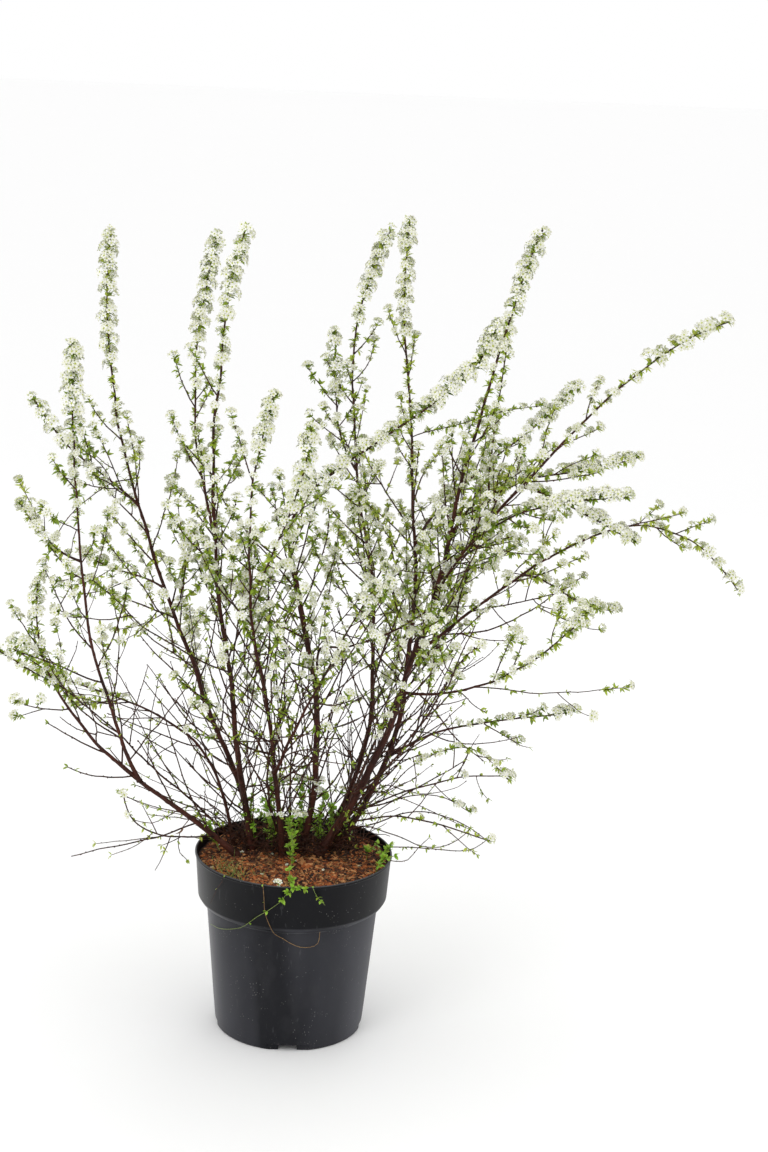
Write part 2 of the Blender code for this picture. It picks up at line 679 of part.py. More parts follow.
class Mass:
    """The twigs, leaves and blossom of one wand or spray, grown by a seeded rule."""

    def __init__(self, owner, limb, space):
        self.owner = owner
        self.limb = limb
        self.space = space
        self.draw = random.Random(SEED * 1000 + owner)
        self.pieces = []

    def add_umbel(self, root, way, size):
        centre = root + way * (UMBEL_ROOT * size)
        if self.space.free(self.owner, centre, 0.5 * UMBEL_WIDTH * size):
            self.pieces.append(umbel(root, way, size, self.draw.uniform(0, math.pi)))
            return True
        return False

    def add_leaf(self, root, way, size):
        centre = root + way * (0.5 * LEAF_LENGTH * size)
        if self.space.free(self.owner, centre, 0.5 * LEAF_LENGTH * size):
            self.pieces.append(leaf(root, way, Vector((0.1, 0.2, 1)), size))

    def add_twig(self, share, turn, length):
        """A side twig that bends up, with leaves along it and a head of blossom at its end."""
        limb = self.limb
        root = limb.point(share)
        way = round_way(limb, share, turn, TWIG_LEAN * self.draw.uniform(0.85, 1.15))
        knee = root + way * (0.5 * length)
        bent = (way + TWIG_RISE).normalized() if length > STRAIGHT_TWIG else way
        tip = knee + bent * (0.5 * length)
        for place in (knee, knee.lerp(tip, 0.5), tip):
            if not self.space.free(self.owner, place, 0.003):
                return
        thick = min(TWIG_RADIUS, 0.8 * limb.radius(share))
        stations = [(root, way, thick), (tip, bent, 0.6 * thick)]
        if length > STRAIGHT_TWIG:
            stations.insert(1, (knee, (way + bent).normalized(), 0.85 * thick))
        self.pieces.append(object_from(tube(stations, TWIG_SIDES), "twig"))
        for place, along in ((0.45, knee), (0.75, knee.lerp(tip, 0.5))):
            side, across = square_frame(bent)
            angle = self.draw.uniform(0, math.tau)
            out = (bent * 0.7 + side * math.cos(angle) + across * math.sin(angle)).normalized()
            if length * place > LEAF_FROM:
                self.add_leaf(along, out, self.draw.uniform(0.75, 1.0))
        if self.draw.random() < TIP_HEAD_CHANCE:
            if self.add_umbel(tip - bent * TIP_SINK, bent, self.draw.uniform(0.8, 1.0)):
                return
        self.add_leaf(tip - bent * TIP_SINK, bent, TIP_LEAF_SIZE)

    def grow(self):
        limb = self.limb
        leafy = limb.spec["leafy"]
        span = (1 - leafy) * limb.length
        thick_from = 1 - (1 - leafy) * limb.spec["sleeve"]
        turn = self.draw.uniform(0, math.tau)
        walked = FIRST_SHOOT if leafy > 0 else FIRST_SPRAY_SHOOT
        while walked < span - 0.006:
            share = leafy + (1 - leafy) * walked / span
            turn += GOLDEN_TURN
            if share >= thick_from:
                way = round_way(limb, share, turn, SLEEVE_LEAN)
                self.add_umbel(limb.point(share), way, self.width_at(share))
                walked += SLEEVE_SPACING
                continue
            pick = self.draw.random()
            if pick < TWIG_CHANCE:
                length = limb.spec.get("twig", TWIG_LENGTH) * self.draw.uniform(0.7, 1.35)
                self.add_twig(share, turn, length)
            elif pick < TWIG_CHANCE + HEAD_CHANCE:
                self.add_umbel(limb.point(share), round_way(limb, share, turn, SLEEVE_LEAN), OPEN_HEAD_SIZE)
            else:
                self.add_leaf(limb.point(share), round_way(limb, share, turn, LEAF_LEAN), OPEN_LEAF_SIZE)
            walked += OPEN_SPACING
        end = limb.way(1)
        root = limb.point(1) - end * (2 * TIP_SINK)
        if limb.spec["sleeve"] > 0.2:
            self.add_umbel(root, end, TIP_HEAD_SIZE)
        else:
            self.add_leaf(root, end, TIP_LEAF_SIZE)

    def width_at(self, share):
        """Heads are full along the sleeve and smaller at its blunt tip."""
        from_tip = (1 - share) * self.limb.length
        return min(1.0, 0.72 + 6 * from_tip) * self.draw.uniform(0.86, 1.0)


def keep_largest(obj):
    """Keeps the outer skin: a loose scrap goes, and a sealed hollow is filled."""
    bm = bmesh.new()
    bm.from_mesh(obj.data)
    bm.faces.ensure_lookup_table()
    seen = set()
    bodies = []
    for face in bm.faces:
        if face.index in seen:
            continue
        body = []
        waiting = [face]
        seen.add(face.index)
        while waiting:
            here = waiting.pop()
            body.append(here)
            for edge in here.edges:
                for neighbour in edge.link_faces:
                    if neighbour.index not in seen:
                        seen.add(neighbour.index)
                        waiting.append(neighbour)
        bodies.append(body)
    bodies.sort(key=len, reverse=True)
    spare = [face for body in bodies[1:] for face in body]
    bmesh.ops.delete(bm, geom=spare, context="FACES")
    bm.to_mesh(obj.data)
    bm.free()


def make_masses():
    space = Space()
    for owner, (name, limb) in enumerate(LIMB_LINES.items()):
        leafy = limb.spec["leafy"]
        if leafy == 1:
            continue
        label = name if name.startswith("spray") else f"blossom_{name}"
        stations, foot_plane = limb_stations(limb, leafy, 1)
        mass = object_from(tube(stations, TWIG_SIDES, foot_plane), label)
        growth = Mass(owner, limb, space)
        growth.grow()
        pieces = bpy.data.collections.new(f"{label}_pieces")
        for piece in growth.pieces:
            bpy.context.scene.collection.objects.unlink(piece)
            pieces.objects.link(piece)
        join(mass, pieces, "UNION", "MANIFOLD")
        keep_largest(mass)
        finish(mass, BLOSSOM_COLOUR, 0.8, 15)


def main():
    clear_scene()
    make_pot()
    make_soil()
    lay_out_limbs()
    make_wood()
    make_masses()


main()
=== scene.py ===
import json
import math
import random

import bmesh
import bpy
import numpy as np
from mathutils import Matrix, Vector, noise

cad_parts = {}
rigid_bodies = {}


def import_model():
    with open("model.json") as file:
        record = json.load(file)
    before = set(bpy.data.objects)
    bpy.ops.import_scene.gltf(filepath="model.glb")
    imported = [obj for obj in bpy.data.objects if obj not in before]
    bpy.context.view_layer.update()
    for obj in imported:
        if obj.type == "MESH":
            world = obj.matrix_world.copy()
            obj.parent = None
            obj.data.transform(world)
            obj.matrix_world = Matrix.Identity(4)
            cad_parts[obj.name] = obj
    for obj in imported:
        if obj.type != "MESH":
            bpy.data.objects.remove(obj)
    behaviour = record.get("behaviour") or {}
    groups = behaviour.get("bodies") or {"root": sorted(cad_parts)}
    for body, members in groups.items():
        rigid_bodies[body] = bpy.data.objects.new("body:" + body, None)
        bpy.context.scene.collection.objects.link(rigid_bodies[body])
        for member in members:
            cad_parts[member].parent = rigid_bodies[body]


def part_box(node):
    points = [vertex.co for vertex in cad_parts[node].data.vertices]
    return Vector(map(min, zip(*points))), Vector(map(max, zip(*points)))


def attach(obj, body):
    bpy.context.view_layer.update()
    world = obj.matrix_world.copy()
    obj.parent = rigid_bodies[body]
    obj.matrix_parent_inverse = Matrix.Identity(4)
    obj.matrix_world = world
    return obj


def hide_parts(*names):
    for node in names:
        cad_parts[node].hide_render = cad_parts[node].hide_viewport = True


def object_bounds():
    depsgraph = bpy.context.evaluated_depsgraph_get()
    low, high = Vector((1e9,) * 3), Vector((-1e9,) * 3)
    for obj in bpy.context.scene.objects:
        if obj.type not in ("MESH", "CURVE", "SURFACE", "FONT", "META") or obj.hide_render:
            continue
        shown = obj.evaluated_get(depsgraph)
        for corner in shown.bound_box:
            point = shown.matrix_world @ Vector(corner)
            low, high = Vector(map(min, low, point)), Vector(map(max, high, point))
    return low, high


seed = 12  # of every random draw, and of the noise that bends the limbs
noise.seed_set(seed)

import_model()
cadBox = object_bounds()
boxLow, boxHigh = (np.array(corner, float) for corner in cadBox)
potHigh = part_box("pot")[1]
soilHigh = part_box("soil")[1]

# Looks: shader maths as plain expressions


class Wire:  # a socket that + and * work on

    def __init__(self, look, socket):
        self.look = look
        self.socket = socket

    def maths(self, operation, other):
        return self.look.node("ShaderNodeMath", {"operation": operation}, {0: self, 1: other})

    def __add__(self, other):
        return self.maths("ADD", other)

    def __mul__(self, other):
        return self.maths("MULTIPLY", other)

    __radd__ = __add__
    __rmul__ = __mul__


class Look:  # one material and its nodes

    def __init__(self, name, roughness=0.6):
        self.material = bpy.data.materials.new(name)
        self.material.use_nodes = True
        self.tree = self.material.node_tree
        self.shader = self.tree.nodes["Principled BSDF"]
        self.set("Roughness", roughness)

    def node(self, kind, settings=None, values=None, output=0):
        made = self.tree.nodes.new(kind)
        for key, value in (settings or {}).items():
            if key == "stops":
                ramp = made.color_ramp.elements
                while len(ramp) < len(value):
                    ramp.new(0.5)
                for stop, (place, colour) in zip(ramp, value):
                    stop.position = place
                    stop.color = (*colour, 1)
            else:
                setattr(made, key, value)
        for key, value in (values or {}).items():
            self.plug(made.inputs[key], value)
        return Wire(self, made.outputs[output])

    def plug(self, socket, value):
        if isinstance(value, Wire):
            self.tree.links.new(value.socket, socket)
        elif socket.type == "RGBA":
            socket.default_value = (*value, 1)
        else:
            socket.default_value = value

    def set(self, name, value):
        self.plug(self.shader.inputs[name], value)

    def place(self):
        return self.node("ShaderNodeTexCoord", output="Object")

    def uv(self):
        return self.node("ShaderNodeTexCoord", output="UV")

    def stretched(self, vector, scale):
        return self.node("ShaderNodeMapping", None, {"Vector": vector, "Scale": scale})

    def clouds(self, vector, scale, detail=4.0, rough=0.55):
        values = {"Vector": vector, "Scale": scale, "Detail": detail, "Roughness": rough}
        return self.node("ShaderNodeTexNoise", None, values)

    def cells(self, vector, scale):
        return self.node("ShaderNodeTexVoronoi", None, {"Vector": vector, "Scale": scale})

    def ramp(self, factor, *stops):
        return self.node("ShaderNodeValToRGB", {"stops": stops}, {0: factor})

    def between(self, value, low, high, first=0.0, last=1.0):
        values = {0: value, 1: low, 2: high, 3: first, 4: last}
        return self.node("ShaderNodeMapRange", None, values)

    def blend(self, factor, first, second):
        return self.node("ShaderNodeMix", {"data_type": "RGBA"}, {0: factor, 6: first, 7: second}, 2)

    def bump(self, height, strength, distance):
        values = {"Height": height, "Strength": strength, "Distance": distance}
        self.set("Normal", self.node("ShaderNodeBump", None, values))


barkSet = {
    "dark": (0.0210, 0.0066, 0.0042), "red": (0.0950, 0.0240, 0.0130), "pale": (0.1700, 0.0900, 0.0620),
    "streaks": (7.0, 60.0, 1.0), "flakes": (9.0, 190.0, 1.0),  # round the stem, and along it in metres
    "patches": 34.0, "streakShare": 0.55, "flakeShare": 0.42, "shine": 0.22, "rough": (0.48, 0.78),
    "relief": (0.55, 0.0007),
}


def barkLook():
    look = Look("bark")
    look.set("Specular IOR Level", barkSet["shine"])
    streaks = look.clouds(look.stretched(look.uv(), barkSet["streaks"]), 1.0, 5.0)
    patches = look.clouds(look.place(), barkSet["patches"], 4.0)
    flaky = look.clouds(look.stretched(look.uv(), barkSet["flakes"]), 1.0, 3.0)
    flakes = look.between(flaky, 0.62, 0.70)
    base = look.blend(look.between(patches, 0.30, 0.70), barkSet["dark"], barkSet["red"])
    base = look.blend(look.between(streaks, 0.35, 0.75) * barkSet["streakShare"], base, barkSet["dark"])
    look.set("Base Color", look.blend(flakes * barkSet["flakeShare"], base, barkSet["pale"]))
    look.set("Roughness", look.between(streaks, 0.3, 0.7, *barkSet["rough"]))
    look.bump(streaks * 0.7 + flakes * 0.5, *barkSet["relief"])
    return look.material


def plainLook(name, colour, second, roughness, grain=220.0, spread=(0.35, 0.65)):
    look = Look(name, roughness)
    grainy = look.clouds(look.place(), grain, 2.0)
    look.set("Base Color", look.blend(look.between(grainy, *spread), colour, second))
    return look


twigSet = {
    "dark": (0.0185, 0.0080, 0.0056), "light": (0.0680, 0.0240, 0.0120), "rough": 0.6, "grain": 120.0,
    "shine": 0.2, "dents": (700.0, 3.0), "relief": (0.5, 0.0004),
}
leafSet = {
    "shades": (
        ((0.225, 0.325, 0.022), (0.335, 0.435, 0.045)),
        ((0.310, 0.410, 0.034), (0.420, 0.510, 0.068)),
        ((0.148, 0.236, 0.016), (0.236, 0.330, 0.034)),
        ((0.375, 0.445, 0.056), (0.485, 0.545, 0.112)),
        ((0.225, 0.430, 0.026), (0.350, 0.545, 0.070)),  # of the sprigs low down
    ),
    "inCrown": 4, "rough": 0.50, "grain": 160.0, "shine": 0.30,
    "soft": 0.18, "softReach": (0.0012, 0.0020, 0.0005), "dents": 900.0, "relief": (0.35, 0.0003),
}
petalSet = {
    "shades": (
        ((0.76, 0.76, 0.64), (0.84, 0.84, 0.75)),
        ((0.67, 0.68, 0.54), (0.78, 0.78, 0.67)),
        ((0.82, 0.82, 0.73), (0.88, 0.88, 0.82)),
    ),
    "rough": 0.66, "grain": 300.0, "shine": 0.25,
    "soft": 0.25, "softReach": (0.0012, 0.0012, 0.0009), "dents": 1200.0, "relief": (0.25, 0.0002),
}
plainSet = {  # kind: name, first and second colour, roughness, grain
    "stalk": ("stalk", (0.170, 0.235, 0.040), (0.260, 0.335, 0.085), 0.55, 220.0),
    "heart": ("flower_heart", (0.36, 0.41, 0.040), (0.52, 0.56, 0.095), 0.6, 900.0),
    "bud": ("flower_bud", (0.48, 0.54, 0.25), (0.68, 0.71, 0.48), 0.55, 500.0),
    "fibre": ("fibre", (0.20, 0.10, 0.035), (0.34, 0.21, 0.08), 0.8, 220.0),
    "deadLeaf": ("dead_leaf", (0.100, 0.048, 0.022), (0.165, 0.090, 0.045), 0.8, 220.0),
}


def softLook(name, settings, first, second):  # leaves and petals, which let a little light through
    look = plainLook(name, first, second, settings["rough"], settings["grain"])
    look.set("Specular IOR Level", settings["shine"])
    look.set("Subsurface Weight", settings["soft"])
    look.set("Subsurface Radius", settings["softReach"])
    look.bump(look.clouds(look.place(), settings["dents"], 2.0), *settings["relief"])
    return look.material


def softLooks(name, settings):
    return [softLook(f"{name}_{n + 1}", settings, *pair) for n, pair in enumerate(settings["shades"])]


def foliageLooks():
    twig = plainLook("young_twig", twigSet["dark"], twigSet["light"], twigSet["rough"], twigSet["grain"])
    twig.set("Specular IOR Level", twigSet["shine"])
    twig.bump(twig.clouds(twig.place(), *twigSet["dents"]), *twigSet["relief"])
    looks = {kind: [plainLook(*values).material] for kind, values in plainSet.items()}
    looks.update(twig=[twig.material], leaf=softLooks("leaf", leafSet), petal=softLooks("petal", petalSet))
    return looks


looks = foliageLooks()
bark = barkLook()
print("looks made:", len(bpy.data.materials))

# Meshes: shapes made once with bmesh, then dealt out in numbers


def shown(name, data):
    made = bpy.data.objects.new(name, data)
    bpy.context.scene.collection.objects.link(made)
    return made


def asPiece(bm, name, materials, smooth=True):
    mesh = bpy.data.meshes.new(name)
    bm.to_mesh(mesh)
    bm.free()
    for material in materials:
        mesh.materials.append(material)
    if smooth:
        mesh.shade_smooth()
    return shown(name, mesh)


def placed(piece, slotName, *replaced):  # every piece rides on the one body
    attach(piece, "root")
    if replaced:
        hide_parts(*replaced)


class Shape:  # a small shape that grows along +Z, with its kinds of surface, as arrays

    def __init__(self, bm, kinds):
        bmesh.ops.triangulate(bm, faces=bm.faces)
        bm.verts.index_update()
        self.corners = np.array([v.co[:] for v in bm.verts])
        self.faces = np.array([[v.index for v in f.verts] for f in bm.faces])
        self.kinds = [kinds[f.material_index] for f in bm.faces]
        bm.free()


flowerSet = {
    "petals": 5, "root": 0.10, "length": 0.98, "width": 0.42, "fullness": 0.6, "cupCurve": 1.5,
    "heartRadius": 0.35, "heartHeight": 0.22, "heartLift": 0.12,
}


def flowerShape(cup):
    bm = bmesh.new()
    petal = bmesh.ops.create_circle(bm, cap_ends=True, segments=5, radius=1)["verts"]
    bmesh.ops.rotate(bm, cent=(0, 0, 0), matrix=Matrix.Rotation(math.pi, 3, "Z"), verts=petal)
    for corner in petal:  # a pentagon drawn out into a petal, narrow at its root
        along = (0.5 + 0.5 * corner.co.y) ** flowerSet["fullness"]
        out = flowerSet["root"] + flowerSet["length"] * along
        corner.co = Vector((out, flowerSet["width"] * corner.co.x, 0))
        corner.co.z = cup * corner.co.x ** flowerSet["cupCurve"]
    bmesh.ops.spin(
        bm, geom=bm.verts[:] + bm.edges[:] + bm.faces[:], cent=(0, 0, 0), axis=(0, 0, 1), dvec=(0, 0, 0),
        angle=math.tau * (flowerSet["petals"] - 1) / flowerSet["petals"],
        steps=flowerSet["petals"] - 1, use_duplicate=True,
    )
    petals = set(bm.faces)
    bmesh.ops.create_cone(
        bm, cap_ends=False, segments=4, radius1=flowerSet["heartRadius"], radius2=0,
        depth=flowerSet["heartHeight"], matrix=Matrix.Translation((0, 0, flowerSet["heartLift"])),
    )
    bm.normal_update()
    for face in bm.faces:
        face.material_index = 0 if face in petals else 1
        if face in petals and face.normal.z < 0:
            face.normal_flip()
    return Shape(bm, ("petal", "heart"))


leafSwell = 0.85  # a leaf is widest a little below its middle


def leafShape(width, fold, curl, rows=4, kind="leaf"):
    bm = bmesh.new()
    bmesh.ops.create_grid(bm, x_segments=2, y_segments=rows, size=0.5)
    for corner in bm.verts:  # x is across the leaf and y along it; the leaf then stands along +Z
        along = corner.co.y + 0.5
        half = width / 2 * math.sin(math.pi * along**leafSwell)
        across = half * (2 * corner.co.x)
        lift = fold * abs(across) - curl * along**2
        corner.co = Vector((lift, across, along))
    bmesh.ops.remove_doubles(bm, verts=bm.verts, dist=0.0001)
    return Shape(bm, (kind,))


def ballShape(kind, length, segments, rows, lift):
    bm = bmesh.new()
    bmesh.ops.create_uvsphere(bm, u_segments=segments, v_segments=rows, radius=0.5)
    bmesh.ops.scale(bm, vec=(1, 1, length), verts=bm.verts)
    bmesh.ops.translate(bm, vec=(0, 0, length * lift), verts=bm.verts)
    return Shape(bm, (kind,))


def stalkShape():
    bm = bmesh.new()
    bmesh.ops.create_cone(bm, cap_ends=False, segments=3, radius1=0.5, radius2=0.36, depth=1)
    bmesh.ops.translate(bm, vec=(0, 0, 0.5), verts=bm.verts)
    return Shape(bm, ("stalk",))


shapes = {
    "openFlower": flowerShape(0.10),
    "cupFlower": flowerShape(0.34),
    "narrowLeaf": leafShape(0.36, 0.55, 0.16, 3),
    "broadLeaf": leafShape(0.48, 0.40, 0.26),
    "roundLeaf": leafShape(0.60, 0.28, 0.22, 3),
    "deadLeaf": leafShape(0.45, 0.7, 0.5, 4, "deadLeaf"),
    "bud": ballShape("bud", 1.15, 5, 4, 0.5),
    "knot": ballShape("twig", 1.7, 4, 2, 0),
    "stalk": stalkShape(),
}


class Heap:  # all the small pieces of one kind in one part of the crown, joined into meshes

    def __init__(self):
        self.rows = {}
        self.tubes = []

    def put(self, shape, place, way, side, size, shade=0):
        self.rows.setdefault((shape, shade), []).append((*place, *way, *side, *size))

    def tube(self, points, radii, sides, kind):
        self.tubes.append((np.array(points, float), np.array(radii, float), sides, kind))

    def build(self):  # corners, triangles and the material of each triangle
        blocks = []
        for (shape, shade), rows in self.rows.items():
            blocks += copies(shapes[shape], np.array(rows), shade)
        for points, radii, sides, kind in self.tubes:
            corners, faces = tubeMesh(points, radii, sides)
            blocks.append((corners, faces, [looks[kind][0]] * len(faces)))
        return blocks


def copies(shape, rows, shade, batch=400):
    place, way, side, size = rows[:, 0:3], rows[:, 3:6], rows[:, 6:9], rows[:, 9:12]
    way = way / np.linalg.norm(way, axis=1, keepdims=True)
    side = side - way * np.sum(side * way, axis=1, keepdims=True)
    side = side / np.linalg.norm(side, axis=1, keepdims=True)
    axes = np.stack([side, np.cross(way, side), way], axis=1) * size[:, :, None]
    corners = place[:, None, :] + np.einsum("ck,nkd->ncd", shape.corners, axes)
    material = [looks[kind][min(shade, len(looks[kind]) - 1)] for kind in shape.kinds]
    blocks = []
    for first in range(0, len(rows), batch):
        some = corners[first:first + batch]
        shift = np.arange(len(some))[:, None, None] * len(shape.corners)
        faces = (shape.faces[None] + shift).reshape(-1, 3)
        blocks.append((some.reshape(-1, 3), faces, material * len(some)))
    return blocks


offAxis = (0.31, 0.22, 0.92)  # a direction that no stem or twig takes


def tubeMesh(points, radii, sides):
    ways = np.gradient(points, axis=0)
    ways = ways / np.linalg.norm(ways, axis=1, keepdims=True)
    side = np.cross(ways[0], offAxis)
    rings = []
    turns = np.arange(sides) * math.tau / sides
    for centre, way, radius in zip(points, ways, radii):
        side = side - way * np.dot(side, way)
        side = side / np.linalg.norm(side)
        across = np.cross(way, side)
        rings.append(centre + radius * (np.outer(np.cos(turns), side) + np.outer(np.sin(turns), across)))
    corners = np.concatenate(rings + [points[:1], points[-1:]])
    count = len(points)
    low = np.arange(count - 1)[:, None] * sides + np.arange(sides)[None]
    after = np.arange(count - 1)[:, None] * sides + (np.arange(sides)[None] + 1) % sides
    walls = [np.stack([low, after, after + sides], -1), np.stack([low, after + sides, low + sides], -1)]
    turn = np.arange(sides)
    foot = np.stack([np.full(sides, count * sides), (turn + 1) % sides, turn], -1)
    last = (count - 1) * sides
    tip = np.stack([np.full(sides, count * sides + 1), last + turn, last + (turn + 1) % sides], -1)
    return corners, np.concatenate([walls[0].reshape(-1, 3), walls[1].reshape(-1, 3), foot, tip])


pieceLimit = 180000  # triangles
sharpFrom = math.radians(50)


def joined(name, blocks, replaced, slotName):
    groups, count = [[]], 0
    for block in blocks:
        if count + len(block[1]) > pieceLimit:
            groups.append([])
            count = 0
        groups[-1].append(block)
        count += len(block[1])
    for number, group in enumerate(groups):
        corners = np.concatenate([block[0] for block in group])
        starts = np.cumsum([0] + [len(block[0]) for block in group])[:-1]
        faces = np.concatenate([block[1] + start for block, start in zip(group, starts)])
        worn = [material for block in group for material in block[2]]
        used = sorted(set(worn), key=lambda material: material.name)
        mesh = bpy.data.meshes.new(name)
        mesh.from_pydata(corners, [], faces)
        for material in used:
            mesh.materials.append(material)
        index = {material: at for at, material in enumerate(used)}
        mesh.polygons.foreach_set("material_index", [index[material] for material in worn])
        mesh.shade_smooth()
        mesh.set_sharp_from_angle(angle=sharpFrom)
        label = name if len(groups) == 1 else f"{name}_{number + 1}"
        placed(shown(label, mesh), slotName, *replaced)
        print(f"{label}: {len(faces)} triangles")


# Limbs, each one smooth bend from its foot on the soil, or from a place on its parent, to its tip

clearance = 0.0003
woodSet = {
    "flareReach": 0.014, "flareShare": 0.20, "taper": 0.58, "tipRadius": 0.0010, "forkReach": 0.012,
    "forkShare": 0.55, "ringStep": 0.0035, "stemSides": 16, "boughSides": 12, "wander": 0.0026,
    "slender": 0.86, "sway": 0.0085, "swayScale": 0.36, "crookScale": 16, "crookSeeds": (7.3, 5.1),
    "calmEnds": 6, "shiftFade": 6, "lengthSteps": 60, "rooted": 0.006,
}


def metres(size):  # from millimetres
    return tuple(part / 1000 for part in size) if isinstance(size, tuple) else size / 1000


def grown(start, lift, tip, droop, thick, leafy, sleeve, full=1, green=0, sparse=False, **sizes):
    plan = {"leafy": leafy, "sleeve": sleeve, "full": full, "green": green, "sparse": sparse}
    if isinstance(start[0], str):
        plan.update(parent=start[0], at=start[1])
    else:
        sizes["foot"] = start
    sizes.update(lift=lift, tip=tip, droop=droop, thick=thick)
    plan.update((name, metres(size)) for name, size in sizes.items())
    return plan


# Each limb, in millimetres: its foot on the soil or its parent and the share of it, how it sets out,
# its tip, how it comes to its tip, its thickness, the share that is bare wood, and how much of the
# rest is a sleeve of blossom. Then its twigs' length, the step between shoots, and how full it is.
limbPlan = {
    "far_left": grown((-95, -2), (-150, -20, 140), (-400, -120, 760), (-25, 55, -250), 13, 0.72, 0.35,
          twig=65, shoots=34),
    "low_left": grown((-100, 45), (-50, 40, 290), (-480, 160, 585), (155, -50, -125), 7, 0.55, 0.1,
          twig=75, shoots=34),
    "left_arch": grown(("far_left", 0.34), (-105, -50, 230), (-335, -260, 1145), (0, 100, -230), 8, 0.6,
          0.55, shoots=40),
    "left": grown((-62, 60), (-110, 15, 330), (-320, 140, 1270), (-30, -35, -370), 13, 0.6, 0.5, twig=70,
          shoots=34, full=1.06),
    "left_fork": grown(("left", 0.58), (-40, -20, 45), (-425, 20, 1020), (60, 10, -105), 5.5, 0.35, 0.6),
    "middle_left": grown((-70, 22), (-50, -15, 330), (-100, -60, 1305), (-90, 35, -335), 15, 0.58, 0.55),
    "back_left": grown(("middle_left", 0.52), (-50, 70, 115), (-155, 200, 1265), (-35, -60, -150), 6, 0.22,
          0.65),
    "front_left": grown((-20, 2), (-15, -40, 290), (-50, -240, 1080), (-80, 115, -305), 12, 0.66, 0.35,
          twig=70),
    "front_fork": grown(("front_left", 0.6), (30, -60, 60), (5, -340, 1050), (-10, 80, -120), 5, 0.0, 0.4,
          twig=65),
    "front_right": grown(("front_left", 0.18), (20, -75, 60), (110, -180, 790), (-70, 30, -130), 8, 0.55,
          0.35, twig=85),
    "centre": grown((12, 30), (45, -5, 175), (-20, 0, 795), (35, 10, -170), 14, 1.0, 0.0, tipThick=8),
    "centre_bow": grown(("centre", 1.0), (-30, -15, 150), (270, -180, 1185), (-35, 70, -170), 7.5, 0.0,
          0.75, full=1.12),
    "right": grown((42, 10), (200, 15, 305), (355, 80, 1305), (-135, -30, -335), 19, 0.66, 0.6),
    "right_back": grown((70, 42), (210, 45, 295), (155, 260, 1295), (-30, -80, -320), 14, 0.58, 0.45,
          twig=65),
    "far_right": grown(("right", 0.47), (100, -25, 110), (635, -40, 1185), (-180, 30, -85), 8, 0.52, 0.62,
          full=1.24, green=0.24),
    "right_outer": grown(("right_back", 0.5), (45, 50, 90), (460, 360, 1020), (-80, -75, -85), 6, 0.35,
          0.55),
    "level_back": grown(("right", 0.53), (55, 60, 110), (555, 240, 920), (-120, -70, -35), 6, 0.35, 0.6,
          full=1.1),
    "level_front": grown(("right", 0.42), (50, -90, 165), (475, -200, 940), (-150, 90, -35), 6, 0.35, 0.6,
          full=1.1),
    "level_tip": grown(("far_right", 0.36), (50, -50, -5), (500, -130, 855), (-55, 20, 30), 4.5, 0.0, 0.5),
    "arching": grown(("right", 0.34), (160, 15, 130), (715, 100, 725), (-180, -30, 245), 7, 0.42, 0.22,
          shoots=36),
    "arching_fork": grown(("arching", 0.33), (60, 50, -15), (530, 200, 665), (-75, -55, 5), 4.5, 0.0, 0.25,
          twig=65),
    "low_front": grown(("right", 0.28), (110, -90, 20), (410, -300, 790), (-35, 100, -110), 6, 0.4, 0.3,
          twig=70, shoots=40),
    "low_right": grown(("right_back", 0.16), (110, 50, 60), (475, 220, 480), (-105, -55, -10), 6, 0.35,
          0.3, twig=60, shoots=40),
    "back": grown((48, 75), (200, 65, 315), (130, 380, 1270), (-170, -115, -315), 12, 0.64, 0.5),
    "back_fork": grown(("back", 0.6), (-45, 15, 50), (40, 300, 1105), (5, -20, -90), 4.5, 0.0, 0.45),
    "upright": grown(("level_back", 0.28), (-5, 40, 75), (325, 250, 1130), (-5, -40, -80), 4, 0.0, 0.2),
    "lowest_front": grown(("right", 0.05), (80, -60, 60), (300, -180, 390), (-85, 55, 10), 4, 0.0, 0.0,
          twig=65, sparse=True),
    "lowest_right": grown(("right_back", 0.07), (95, 30, 35), (360, 140, 385), (-75, -30, 15), 4, 0.0,
          0.25, twig=65, sparse=True),
    "lowest_left": grown(("far_left", 0.07), (-50, -70, 30), (-260, -200, 455), (10, 50, -100), 4, 0.0,
          0.0, twig=60, sparse=True),
}
# side sprays: parent, place on it, heading and rise in degrees, length
sprayPlan = {
    "spray_left_front": ("left", 0.40, -70, 60, 0.19),
    "spray_left_back": ("left", 0.44, 150, 12, 0.17),
    "spray_left_high": ("left_arch", 0.52, 190, 45, 0.13),
    "spray_low_back": ("left", 0.17, 112, 42, 0.27),
    "spray_low_front": ("front_left", 0.22, 222, 35, 0.20),
    "spray_centre": ("centre", 0.72, 205, 38, 0.17),
    "spray_back_high": ("back", 0.40, 105, 45, 0.20),
    "spray_back_low": ("back", 0.22, 66, 38, 0.26),
    "spray_right_front": ("right", 0.37, 235, 50, 0.18),
    "spray_right_back": ("right_back", 0.27, 48, 48, 0.24),
}
spraySet = {"thick": 0.0042, "sleeve": 0.35, "handle": 0.30, "bend": 0.10, "twig": 0.085}
crownParts = {
    "left": (
        "far_left", "low_left", "left_arch", "left", "left_fork", "lowest_left",
        "spray_left_front", "spray_left_back", "spray_left_high", "spray_low_back",
    ),
    "middle": (
        "middle_left", "back_left", "front_left", "front_fork", "front_right", "centre", "centre_bow",
        "spray_low_front", "spray_centre",
    ),
    "right": (
        "right", "far_right", "level_front", "level_tip", "arching", "arching_fork", "low_front",
        "lowest_front", "level_back", "upright", "right_outer", "low_right", "lowest_right",
        "spray_right_front",
    ),
    "back": ("right_back", "back", "back_fork", "spray_back_high", "spray_back_low", "spray_right_back"),
}


